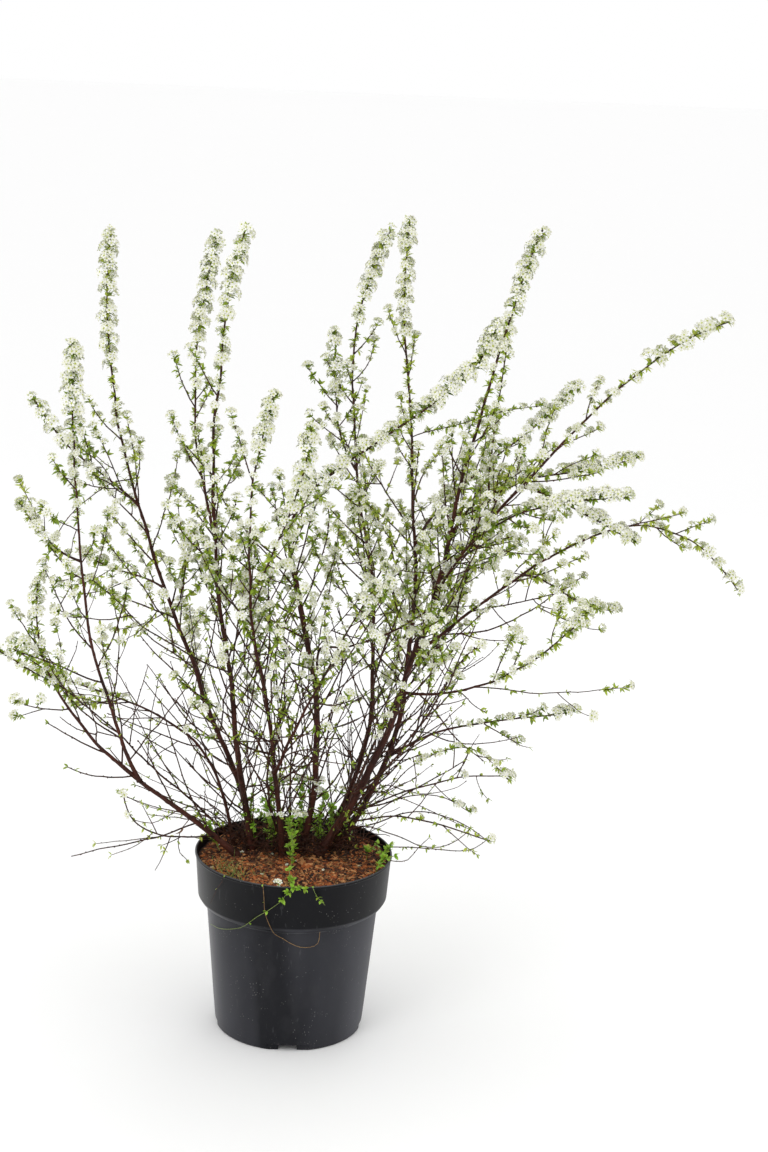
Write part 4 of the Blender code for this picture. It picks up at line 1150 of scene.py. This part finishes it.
def makePot():
    names = ("height", "rim", "lip", "lipRound", "baseEdge", "base", "chamfer", "bulge", "collarFoot")
    height, rim, lip, soft, edge, base, chamfer, bulge, collarFoot = (potSet[name] for name in names)
    collarAt, floor = height - potSet["collarHeight"], potSet["floor"]
    turns = [math.pi / 2 * step / 5 for step in range(6)]
    outside = [(0, 0)]
    outside += [(base - edge * (1 - math.sin(turn)), edge * (1 - math.cos(turn))) for turn in turns]
    outside += [(wallRadius(collarAt * share), collarAt * share) for share in (0.2, 0.4, 0.6, 0.8, 0.92)]
    outside += [
        (wallRadius(collarAt - chamfer), collarAt - chamfer),
        (collarFoot - bulge - 0.0006, collarAt - chamfer / 2 - 0.0004),
        (collarFoot - bulge, collarAt - chamfer / 2 + 0.0004),
        (collarFoot - 0.0006, collarAt - 0.0008),
        (collarFoot, collarAt + 0.0006),
        (rim - soft - 0.0008, height - lip - 0.0020),
        (rim - soft, height - lip),
        (rim - 0.0001, height - 0.8 * lip),
        (rim, height - lip / 2),
        (rim - 0.0003, height - 0.0006),
        (rim - soft, height),
    ]
    inside = [
        (innerRadius(height) + 0.0006, height),
        (innerRadius(height), height - 0.0006),
        (innerRadius(collarAt), collarAt),
        (innerRadius(collarAt - 0.001), collarAt - chamfer),
        (innerRadius(floor), floor),
        (0, floor),
    ]
    pot = turnedPiece(outside + inside, potSet["steps"], "nursery_pot", potLook())
    cutters = bpy.data.collections.new("cutters")
    low = potSet["channelHeight"]
    for index in range(potSet["drains"]):
        turn = index * math.tau / potSet["drains"] - math.pi / 2
        notchAt = base - potSet["notchDepth"]
        channelFrom = base - potSet["channelLength"]
        channel = potSet["channelLength"] + potSet["reach"]
        notchSize = (potSet["reach"], potSet["notchWidth"], 2 * low)
        channelSize = (channel, potSet["channelWidth"], 2 * low + 0.001)
        made = (
            cutterPiece(notchSize, (notchAt + potSet["reach"] / 2, 0, 0), turn),
            cutterPiece(channelSize, (channelFrom + channel / 2, 0, 0), turn),
            cutterPiece(potSet["holeRadius"], (channelFrom + potSet["holeInset"], 0, 0), turn, 24),
        )
        for piece in made:
            bpy.context.scene.collection.objects.unlink(piece)
            cutters.objects.link(piece)
    cut = pot.modifiers.new("drains", "BOOLEAN")
    cut.operation = "DIFFERENCE"
    cut.operand_type = "COLLECTION"
    cut.collection = cutters
    cut.solver = "EXACT"
    bpy.context.view_layer.update()
    mesh = bpy.data.meshes.new_from_object(pot.evaluated_get(bpy.context.evaluated_depsgraph_get()))
    pot.modifiers.clear()
    pot.data = mesh
    for piece in list(cutters.objects):
        bpy.data.objects.remove(piece, do_unlink=True)
    bpy.data.collections.remove(cutters)
    mesh.shade_smooth()
    mesh.set_sharp_from_angle(angle=potSet["sharpFrom"])
    placed(pot, "pot", "pot")
    print("pot made:", len(mesh.polygons), "faces")


makePot()

# Soil

soilSet = {
    "plateau": 0.112, "edgeDrop": 0.003, "sideGap": 0.0010, "depth": 0.030, "rings": 46, "steps": 150,
    "top": 0.0035, "relief": 0.0030, "roughScale": 55, "crumbs": 260.0,
    "shades": ((0.30, (0.012, 0.006, 0.004)), (0.50, (0.070, 0.024, 0.012)), (0.72, (0.190, 0.070, 0.032))),
}
mulchSet = {
    "chips": 5200, "chipLength": (0.0035, 0.0125), "tilt": 0.42, "rim": 0.006,
    "mix": (0, 0, 0, 1, 1, 2, 2, 3), "dark": 3, "darkPlace": (-0.010, 0.055),
    "darkSpread": (0.110, 0.052), "darkest": 0.75,
    "chunks": 16, "chunkPlace": (0.010, -0.030), "chunkSpread": 0.012,
    "chunkSize": ((0.009, 0.018), (0.005, 0.009), (0.003, 0.005)),
    "fibres": 420, "fibreThick": 0.00035, "fibreStep": 0.0045, "fibreBend": 0.5,
    "shades": (
        ((0.350, 0.086, 0.020), (0.480, 0.150, 0.040)),
        ((0.125, 0.034, 0.011), (0.205, 0.062, 0.020)),
        ((0.520, 0.215, 0.072), (0.640, 0.325, 0.135)),
        ((0.016, 0.008, 0.006), (0.036, 0.017, 0.011)),
    ),
}


def soilSurface(x, y):
    away = math.hypot(x, y)
    level = soilHigh.z - soilSet["top"]
    if away > soilSet["plateau"]:
        fall = (away - soilSet["plateau"]) / (innerRadius(level) - soilSet["plateau"])
        level -= soilSet["edgeDrop"] * min(1.0, fall)
    scale = soilSet["roughScale"]
    rough = noise.fractal(Vector((x * scale, y * scale, 3.1)), 0.6, 2.1, 4)
    return level + soilSet["relief"] * max(-1.0, min(1.0, rough))


def mulchLook(name, first, second):
    look = plainLook(name, first, second, 0.9, 240.0)
    look.bump(look.clouds(look.place(), 420.0, 4.0, 0.7), 0.8, 0.0012)
    return look.material


def makeSoil():
    look = Look("potting_soil", 0.95)
    crumbs = look.clouds(look.place(), soilSet["crumbs"], 6.0, 0.7)
    look.set("Base Color", look.ramp(crumbs, *soilSet["shades"]))
    look.bump(crumbs, 1.0, 0.0025)
    outer = innerRadius(soilHigh.z - soilSet["edgeDrop"]) - soilSet["sideGap"]
    profile = [(outer * step / soilSet["rings"], 0.0) for step in range(soilSet["rings"] + 1)]
    profile += [(outer - 0.001, -soilSet["depth"]), (0, -soilSet["depth"])]
    soil = turnedPiece(profile, soilSet["steps"], "soil_surface", look.material)
    for corner in soil.data.vertices:
        if corner.co.z > -0.01:
            corner.co.z = soilSurface(corner.co.x, corner.co.y)
        else:
            corner.co.z += soilHigh.z
    soil.data.update()
    placed(soil, "soil", "soil")


def chipShape():
    bm = bmesh.new()
    bmesh.ops.create_cube(bm, size=1)
    top = [face for face in bm.faces if face.normal.z > 0.5]
    bmesh.ops.scale(bm, vec=(0.72, 0.62, 1), verts=[v for face in top for v in face.verts])
    ends = [v for v in bm.verts if v.co.x > 0]
    bmesh.ops.scale(bm, vec=(1, 0.68, 0.75), verts=ends)
    return Shape(bm, ("mulch",))


def litterAndShadeShare(x, y):  # dark litter lies about the stems' feet, and the dark chips there also paint the shade under the crown
    away = [(value - middle) / spread for value, middle, spread in
            zip((x, y), mulchSet["darkPlace"], mulchSet["darkSpread"])]
    return mulchSet["darkest"] * math.exp(-away[0]**2 - away[1]**2)


def anySpot(draw, reach):  # evenly over a disc
    away, turn = reach * math.sqrt(draw.random()), draw.uniform(0, math.tau)
    return away * math.cos(turn), away * math.sin(turn)


def anyTilt(draw, amount):  # a way near straight up
    return Vector((draw.gauss(0, amount), draw.gauss(0, amount), 1))


def onSoil(x, y, lift, most=math.inf):
    return (x, y, min(soilSurface(x, y) + lift, most))


def makeMulch():
    looks["mulch"] = [mulchLook(f"mulch_{n + 1}", *pair) for n, pair in enumerate(mulchSet["shades"])]
    shapes["chip"] = chipShape()
    draw = random.Random(seed)
    heap = Heap()
    outer = innerRadius(soilHigh.z - soilSet["edgeDrop"]) - mulchSet["rim"]
    for _ in range(mulchSet["chips"]):
        x, y = anySpot(draw, outer)
        length = draw.uniform(*mulchSet["chipLength"]) * draw.uniform(0.5, 1.0)
        wide, thick = length * draw.uniform(0.25, 0.6), length * draw.uniform(0.10, 0.28)
        flat = anyTilt(draw, mulchSet["tilt"]).normalized()
        side = Vector((draw.gauss(0, 1), draw.gauss(0, 1), draw.gauss(0, 0.15)))
        place = onSoil(x, y, 0.0008, potHigh.z - 0.004)
        # dark chips gather towards the stems' feet: dark litter, and a painted shade under the crown
        shade = mulchSet["dark"] if draw.random() < litterAndShadeShare(x, y) else draw.choice(mulchSet["mix"])
        heap.put("chip", place, flat, side, (length, wide, thick), shade)
    for _ in range(mulchSet["chunks"]):  # a few larger pieces of bark
        x, y = (middle + draw.gauss(0, mulchSet["chunkSpread"]) for middle in mulchSet["chunkPlace"])
        flat = anyTilt(draw, 0.5).normalized()
        side = Vector((draw.gauss(0, 1), draw.gauss(0, 1), 0))
        size = [draw.uniform(*span) for span in mulchSet["chunkSize"]]
        heap.put("chip", onSoil(x, y, 0.002, potHigh.z - 0.006), flat, side, size, draw.choice((0, 1, 2)))
    for _ in range(mulchSet["fibres"]):
        spot, heading = Vector((*anySpot(draw, outer), 0)), draw.uniform(0, math.tau)
        points = []
        for _ in range(5):
            if math.hypot(spot.x, spot.y) > outer:
                break
            points.append(onSoil(spot.x, spot.y, 0.0022))
            heading += draw.gauss(0, mulchSet["fibreBend"])
            spot += Vector((math.cos(heading), math.sin(heading), 0)) * mulchSet["fibreStep"]
        if len(points) > 2:
            heap.tube(points, [mulchSet["fibreThick"]] * len(points), 3, "fibre")
    joined("mulch", heap.build(), (), "soil")


makeSoil()
makeMulch()
print("soil made")

# Canes, stubs and sprigs from the soil, and the thin twigs that are seen one by one

caneSet = {
    "count": 12, "middle": (0.0, 0.058), "spread": (0.085, 0.036), "inner": 0.15, "turnVary": (-0.3, 0.3),
    "radius": (0.0013, 0.0025), "length": (0.22, 0.60), "lean": (8, 58), "bend": 0.16, "crook": 0.075,
    "step": 0.016, "rooted": 0.004, "room": 0.02, "bloomsAt": 0.56, "bloomsFrom": 0.72, "green": 0.12,
    "side": 0.055, "firstSide": 0.07, "lastSide": 0.85, "sideLean": (18, 44), "sideLength": (0.07, 0.20),
    "sideBloomsAt": 0.52, "sideBlooms": 0.7, "sideGreen": 0.25,
}
stubSet = {
    "count": 46, "spread": (0.100, 0.050), "height": (0.008, 0.046), "radius": (0.0010, 0.0026),
    "lean": 0.35, "rooted": 0.003,
}
tangleSet = {
    "count": 330, "middle": (0.0, 0.045), "spread": (0.120, 0.062), "length": (0.025, 0.110), "step": 0.009,
    "radius": (0.0005, 0.0012), "rise": (0.0, 1.1), "crook": 0.20, "heap": 0.022, "wallGap": 0.004,
}
# Single strands, in millimetres: limb, share of it, thickness, share from which it blossoms, leafiness
# and places.
strandPlan = {
    "low_droop": ("far_left", 0.05, 1.1, 1.0, 0.3, (-133, -40, 360), (-157, -55, 373), (-177, -60, 354),
        (-184, -60, 332), (-181, -60, 310), (-170, -60, 299)),
    "low_level": ("far_left", 0.06, 1.1, 1.0, 0.4, (-152, -20, 352), (-187, -30, 368), (-219, -30, 374),
        (-248, -30, 383), (-273, -30, 392)),
    "low_behind": ("low_left", 0.03, 1.1, 1.0, 0.45, (-146, 30, 352), (-179, 20, 358), (-203, 20, 344),
        (-232, 20, 329), (-259, 20, 333)),
    "arch": ("left", 0.62, 1.2, 0.62, 0.3, (-305, 50, 884), (-331, 10, 872), (-363, -20, 845),
        (-387, -40, 805), (-401, -50, 760), (-414, -50, 716)),
    "second": ("left", 0.08, 1.3, 1.0, 0.15, (-123, 50, 401), (-140, 40, 430), (-165, 30, 453),
        (-185, 30, 489), (-223, 30, 534), (-250, 30, 568)),
    "level": ("right_back", 0.66, 1.2, 0.15, 0.8, (189, 150, 965), (244, 130, 984), (308, 120, 1008),
        (370, 120, 1020)),
    "branch": ("centre", 0.55, 2.3, 0.75, 0.3, (31, -15, 642), (67, -30, 649), (113, -40, 667),
        (154, -50, 690), (200, -60, 725)),
    "right_droop": ("right_back", 0.03, 1.2, 1.0, 0.35, (137, 50, 330), (173, 50, 346), (213, 50, 351),
        (255, 50, 341), (289, 50, 325), (318, 50, 304)),
    "right_level": ("right", 0.08, 1.2, 0.8, 0.4, (124, -10, 368), (160, -20, 395), (200, -20, 405),
        (240, -20, 401), (281, -20, 378)),
    "right_rising": ("right", 0.12, 1.3, 0.45, 0.5, (141, -40, 416), (178, -70, 467), (224, -80, 498),
        (271, -80, 506), (312, -80, 479), (334, -80, 455)),
    "right_sag": ("right_back", 0.06, 1.2, 1.0, 0.45, (129, 30, 390), (170, 30, 381), (204, 30, 368),
        (237, 30, 353), (284, 30, 331)),
    "right_near": ("right", 0.03, 1.1, 1.0, 0.35, (108, -20, 349), (146, -20, 340), (174, -20, 331),
        (204, -20, 318), (236, -20, 317), (264, -20, 330), (283, -20, 349)),
    "right_last": ("right", 0.02, 1.1, 1.0, 0.3, (100, -20, 332), (146, -30, 320), (187, -30, 319),
        (227, -30, 317), (268, -30, 315), (292, -30, 321), (312, -30, 337)),
    "right_hook": ("right", 0.015, 1, 1.0, 0.2, (100, -30, 314), (138, -50, 307), (163, -50, 302),
        (183, -50, 305), (199, -50, 326), (215, -50, 343)),
    "right_high": ("right_back", 0.08, 0.9, 1.0, 0.15, (146, 50, 395), (171, 50, 389), (204, 50, 382),
        (236, 50, 386), (266, 50, 396), (280, 50, 407)),
}
deadLeafSet = {"strand": "low_droop", "at": -6, "way": (-0.3, -0.2, -1), "size": (0.020, 0.018, 0.016)}
trailSet = {
    "radius": 0.00036, "kinds": ("twig", "fibre", "stalk", "stalk"), "knot": (0.00045, 0.010),
    "leaf": (0.003, 0.006), "tuftSize": 0.72,
    "tufts": (  # place at the lip, in millimetres, and leaves
        ((0.5, -162.5, 297.5), 8), ((9, -163, 298), 7), ((-7, -163, 290), 7), ((-15.5, -161, 276.5), 6),
        ((20, -162.5, 296), 5), ((40, -157, 280), 3), ((44, -156, 274), 4), ((-39, -155, 254), 3),
        ((-66, -143, 229), 3),
    ),
}
trailPlan = (  # strands from the soil over the lip, and down the pot's front, in millimetres
    ((-96, -108, 289), (-106.5, -122.5, 299.5), (-111.5, -117.2, 285.3), (-118, -108.8, 271.7),
     (-124.4, -99, 254), (-129.2, -90, 238.3)),
    ((-48, -138, 289), (-46.5, -156.2, 299.3), (-44.1, -154.8, 277.4), (-41.9, -153, 251.7),
     (-33.5, -153, 228.5), (-25.4, -144, 211.3), (-14, -140.2, 203.6), (-1.2, -140.4, 195.5),
     (14.7, -139.2, 188.6), (30.5, -136.6, 187.9), (42.9, -133.8, 193.8), (45.3, -135.2, 216.4)),
    ((4, -140, 289), (5.3, -162.6, 299.3), (-6.9, -161.8, 289.8), (-15.8, -159.9, 275.4),
     (-24.9, -157.9, 266), (-38.6, -154, 253.9), (-52.5, -148.9, 243), (-66.4, -142, 229),
     (-79.4, -123, 212.2), (-99, -100.2, 199.1), (-116, -79, 191.3), (-130, -51.5, 186.2)),
    ((26, -142, 289), (30.1, -160, 299.3), (35.1, -158, 287.7), (41.7, -155.3, 276.8),
     (51.4, -151.3, 265.4)),
)
sprigPlan = (  # foot on the soil and top, in millimetres, and heads of blossom at the top
    ((-4, -56), (-10, -50, 364), 5), ((-30, 60), (-40, 40, 398), 6), ((52, 46), (60, 40, 356), 0),
    ((64, 62), (78, 50, 346), 0), ((-36, 30), (-46, 12, 362), 0), ((140, -30), (150, -40, 318), 0),
    ((132, -48), (143, -66, 312), 0), ((118, -10), (120, -16, 304), 0), ((0, -136), (-2, -150, 304), 1),
    ((-120, 20), (-140, 16, 330), 0), ((10, 50), (12, 30, 402), 7), ((45, 50), (48, 30, 384), 3),
    ((-64, 40), (-72, 20, 372), 0),
)
sprigSet = {
    "stalk": 0.0008, "tuft": (3, 5), "tuftSize": 0.80, "sideLean": (25, 60), "sideLength": (0.014, 0.022),
    "sideStalk": 0.0006, "headSpread": (0.015, 0.010, 0.006), "headSize": (0.5, 0.7),
}
litterSet = {
    "rim": 0.008, "petals": 22, "petalSize": (0.45, 0.85), "petalTilt": 0.4,
    "moss": 130, "mossPlace": (-0.105, -0.082), "mossSpread": 0.026, "mossTilt": 0.6,
    "mossHeight": (0.006, 0.016),
}


def smoothLine(places, step=0.012):
    spots = [Vector(place) for place in places]
    spots = [2 * spots[0] - spots[1]] + spots + [2 * spots[-1] - spots[-2]]
    line = []
    for before, first, last, after in zip(spots, spots[1:], spots[2:], spots[3:]):
        count = max(1, round((last - first).length / step))
        for index in range(count):
            t = index / count
            bow = 2 * first + (last - before) * t + (2 * before - 5 * first + 4 * last - after) * t**2
            line.append(0.5 * (bow + (3 * first - before - 3 * last + after) * t**3))
    return line + [spots[-2]]


def edgeSpot(settings, share, turn):  # a share of the way from the middle of an ellipse to its edge
    x = settings["middle"][0] + settings["spread"][0] * share * math.cos(turn)
    return x, settings["middle"][1] + settings["spread"][1] * share * math.sin(turn)


def growCanes(growth):
    draw = growth.draw
    for index in range(caneSet["count"]):
        turn = math.tau * (index + draw.uniform(*caneSet["turnVary"])) / caneSet["count"]
        x, y = edgeSpot(caneSet, math.sqrt(draw.uniform(caneSet["inner"], 1)), turn)
        lean = math.radians(draw.uniform(*caneSet["lean"]))
        away = Vector((math.cos(turn), math.sin(turn), 0))
        heading = away * math.sin(lean) + Vector((0, 0, math.cos(lean)))
        length, radius = draw.uniform(*caneSet["length"]), draw.uniform(*caneSet["radius"])
        steps = int(length / caneSet["step"])
        place = Vector((x, y, soilSurface(x, y) - caneSet["rooted"]))
        points = [place.copy()]
        for _ in range(steps):
            crook = growth.any() * caneSet["crook"]
            heading = (heading + Vector((0, 0, caneSet["bend"] / steps)) + crook).normalized()
            place = place + heading * caneSet["step"]
            if not inBox(place, caneSet["room"]):
                break
            points.append(place.copy())
        flowersFrom = caneSet["bloomsFrom"] if points[-1].z > caneSet["bloomsAt"] else 1.0
        growth.dressed(points, radius, flowersFrom, caneSet["green"], 1, 0.45)
        walked = caneSet["firstSide"]
        while walked < length * caneSet["lastSide"]:
            at = min(len(points) - 2, int(walked / caneSet["step"]))
            lean = math.radians(draw.uniform(*caneSet["sideLean"]))
            way = around((points[at + 1] - points[at]).normalized(), growth.anyTurn(), lean)
            blooms = points[at].z > caneSet["sideBloomsAt"] and draw.random() < caneSet["sideBlooms"]
            reach, flowersFrom = draw.uniform(*caneSet["sideLength"]), 0.5 if blooms else 1.0
            growth.twig(points[at], way, reach, radius * 0.55, flowersFrom, caneSet["sideGreen"], 1)
            walked += caneSet["side"] * draw.uniform(0.6, 1.4)


def growStubs(growth):  # cut and dead shoots among the stems' feet
    draw = growth.draw
    for _ in range(stubSet["count"]):
        x, y = (middle + spread * draw.uniform(-1, 1) for middle, spread in
                zip(caneSet["middle"], stubSet["spread"]))
        foot = Vector((x, y, soilSurface(x, y) - stubSet["rooted"]))
        way = anyTilt(draw, stubSet["lean"]).normalized()
        height, radius = draw.uniform(*stubSet["height"]), draw.uniform(*stubSet["radius"])
        points = [foot, foot + way * height * 0.5, foot + way * height]
        growth.twigs.tube(points, [radius * 1.2, radius, radius * 0.8], 6, "twig")


def growTangle(growth):  # thin dead twigs lying and leaning about the stems' feet
    draw = growth.draw
    wallAt = innerRadius(soilHigh.z) - tangleSet["wallGap"]
    for _ in range(tangleSet["count"]):
        turn, share = draw.uniform(0, math.tau), math.sqrt(draw.random())
        x, y = edgeSpot(tangleSet, share, turn)
        place = Vector((x, y, soilSurface(x, y) + draw.uniform(0.0, tangleSet["heap"])))
        flat, rise = draw.uniform(0, math.tau), draw.uniform(*tangleSet["rise"])
        heading = Vector((math.cos(flat), math.sin(flat), rise)).normalized()
        points = []
        for _ in range(int(draw.uniform(*tangleSet["length"]) / tangleSet["step"]) + 2):
            if place.z < potHigh.z + 0.002 and math.hypot(place.x, place.y) > wallAt:
                break
            points.append(place.copy())
            heading = (heading + growth.any() * tangleSet["crook"]).normalized()
            place = place + heading * tangleSet["step"]
            place.z = max(place.z, soilSurface(place.x, place.y) + 0.001)
        if len(points) > 2:
            radius = draw.uniform(*tangleSet["radius"])
            radii = [radius * (1 - 0.5 * at / len(points)) for at in range(len(points))]
            growth.twigs.tube(points, radii, 4, "twig")


def growStrands(growth):
    for name, (parent, share, thick, flowersFrom, green, *places) in strandPlan.items():
        line = smoothLine([limbs[parent].wandering(share)] + [metres(place) for place in places])
        growth.dressed(line, metres(thick), flowersFrom, green, 1)
        if name == deadLeafSet["strand"]:
            spot = line[deadLeafSet["at"]]
            growth.leaves.put("deadLeaf", spot, deadLeafSet["way"], (1, 0, 0), deadLeafSet["size"])
    growth.tint = leafSet["inCrown"]
    for places, kind in zip(trailPlan, trailSet["kinds"]):
        line = smoothLine([metres(place) for place in places], 0.008)
        growth.twigs.tube(line, [trailSet["radius"]] * len(line), 4, kind)
        growth.knots(line, *trailSet["knot"])
        for index in range(3, len(line), 4):
            out = Vector((line[index].x, line[index].y, 0)).normalized() + growth.any() * 0.5
            growth.leaf(line[index], out.normalized(), growth.vary(trailSet["leaf"]))
    for spot, count in trailSet["tufts"]:
        growth.tuft(Vector(metres(spot)), Vector((0.1, -0.8, 0.5)).normalized(), count, trailSet["tuftSize"])


def growSprigs(growth):
    draw = growth.draw
    for foot, top, heads in sprigPlan:
        foot = metres(foot)
        start = Vector((*foot, soilSurface(*foot) - 0.002))
        end = Vector(metres(top))
        rise = (end - start).normalized()
        bow = (start + end) / 2 + growth.any() * 0.003
        line = smoothLine([start, bow, end], 0.006)
        growth.leaves.tube(line, [sprigSet["stalk"]] * len(line), 4, "stalk")
        for spot in line[2:]:
            growth.tuft(spot, rise, draw.randint(*sprigSet["tuft"]), sprigSet["tuftSize"])
        for spot in line[3::3]:
            lean = math.radians(draw.uniform(*sprigSet["sideLean"]))
            way = around(rise, growth.anyTurn(), lean)
            last = spot + way * draw.uniform(*sprigSet["sideLength"]) + Vector((0, 0, 0.004))
            side = [spot, spot + way * 0.008, last]
            growth.leaves.tube(side, [sprigSet["sideStalk"]] * 3, 4, "stalk")
            growth.tuft(side[1], way, 4, 0.75)
            growth.tuft(side[2], way, 6, 0.80)
        growth.tuft(end, Vector((0, 0, 1)), 7, 0.85)
        wide, deep, high = sprigSet["headSpread"]
        for _ in range(heads):
            aside = Vector((draw.gauss(0, wide), draw.gauss(0, deep), draw.uniform(-high, high)))
            way = (Vector((0, 0, 1)) + growth.any() * 0.3).normalized()
            growth.umbel(end + aside, way, draw.uniform(*sprigSet["headSize"]), 0.1)


def strewLitter(growth):  # fallen blossom, and pale moss by the front of the rim
    draw = growth.draw
    outer = innerRadius(soilHigh.z - soilSet["edgeDrop"]) - litterSet["rim"]
    for _ in range(litterSet["petals"]):
        x, y = anySpot(draw, outer)
        size = umbelSet["petal"] * draw.uniform(*litterSet["petalSize"])
        flat = anyTilt(draw, litterSet["petalTilt"])
        growth.flowers.put("openFlower", onSoil(x, y, 0.0035), flat, (1, 0, 0.1), (size,) * 3, 1)
    for _ in range(litterSet["moss"]):
        x, y = (middle + draw.gauss(0, litterSet["mossSpread"]) for middle in litterSet["mossPlace"])
        if math.hypot(x, y) < outer:
            foot = Vector(onSoil(x, y, 0))
            way = anyTilt(draw, litterSet["mossTilt"]).normalized() * draw.uniform(*litterSet["mossHeight"])
            points = [foot, foot + way * 0.6, foot + way]
            growth.leaves.tube(points, [0.0005, 0.0004, 0.0003], 3, "stalk")


def growLow():
    heaps = newHeaps()
    growth = Growth(len(limbs), None, heaps)
    for grow in (growCanes, growStubs, growTangle, growStrands, growSprigs, strewLitter):
        grow(growth)
    joinHeaps("low", heaps, ())


growLow()

# Stage, lights and camera

stageSet = {
    "floor": 80.0, "colour": (0.985, 0.985, 0.985), "haze": 0.995, "world": (1.0, 1.0, 1.0),
    "worldStrength": 1.0,
}
cameraSet = {
    "place": (0.0, -3.280, 1.562), "yaw": 2.23, "pitch": 13.73, "roll": 2.41, "lens": 67.03, "sensor": 36.0,
}
lampSet = {  # name: place, aim, width, watts
    "key": ((-1.9, -2.6, 3.0), (0.0, 0.0, 0.7), 1.8, 26),
    "fill": ((2.6, -1.8, 2.0), (0.0, 0.0, 0.7), 2.2, 6),
    "back": ((0.8, 2.8, 2.6), (0.0, 0.0, 0.8), 2.0, 10),
}


def makeStage():
    look = Look("floor", 0.9)
    haze = look.clouds(look.place(), 2.0, 3.0)
    pale = stageSet["colour"]
    look.set("Base Color", look.blend(haze, pale, tuple(channel * stageSet["haze"] for channel in pale)))
    bm = bmesh.new()
    bmesh.ops.create_grid(bm, x_segments=1, y_segments=1, size=stageSet["floor"])
    floor = asPiece(bm, "floor", [look.material], smooth=False)
    world = bpy.data.worlds.new("studio")
    world.use_nodes = True
    sky = world.node_tree.nodes["Background"]
    sky.inputs["Color"].default_value = (*stageSet["world"], 1)
    sky.inputs["Strength"].default_value = stageSet["worldStrength"]
    bpy.context.scene.world = world


def makeLamps():
    for name, (place, aim, width, watts) in lampSet.items():
        lamp = bpy.data.lights.new(name, "AREA")
        lamp.shape = "DISK"
        lamp.size = width
        lamp.energy = watts
        stand = shown(name, lamp)
        stand.location = place
        stand.rotation_euler = (Vector(aim) - Vector(place)).to_track_quat("-Z", "Y").to_euler()


def makeCamera():
    yaw, pitch, roll = (math.radians(cameraSet[name]) for name in ("yaw", "pitch", "roll"))
    ahead = Vector((math.sin(yaw) * math.cos(pitch), math.cos(yaw) * math.cos(pitch), -math.sin(pitch)))
    right = Vector((math.cos(yaw), -math.sin(yaw), 0))
    over = right.cross(ahead)
    axes = (
        right * math.cos(roll) + over * math.sin(roll),
        over * math.cos(roll) - right * math.sin(roll),
        -ahead,
    )
    camera = shown("camera", bpy.data.cameras.new("camera"))
    camera.data.lens = cameraSet["lens"]
    camera.data.sensor_width = cameraSet["sensor"]
    camera.data.clip_end = 2 * stageSet["floor"]
    camera.matrix_world = Matrix.Translation(cameraSet["place"]) @ Matrix(axes).transposed().to_4x4()
    bpy.context.scene.camera = camera


makeStage()
makeLamps()
makeCamera()
bpy.context.scene.view_settings.view_transform = "Standard"
print("stage, lights and camera made")
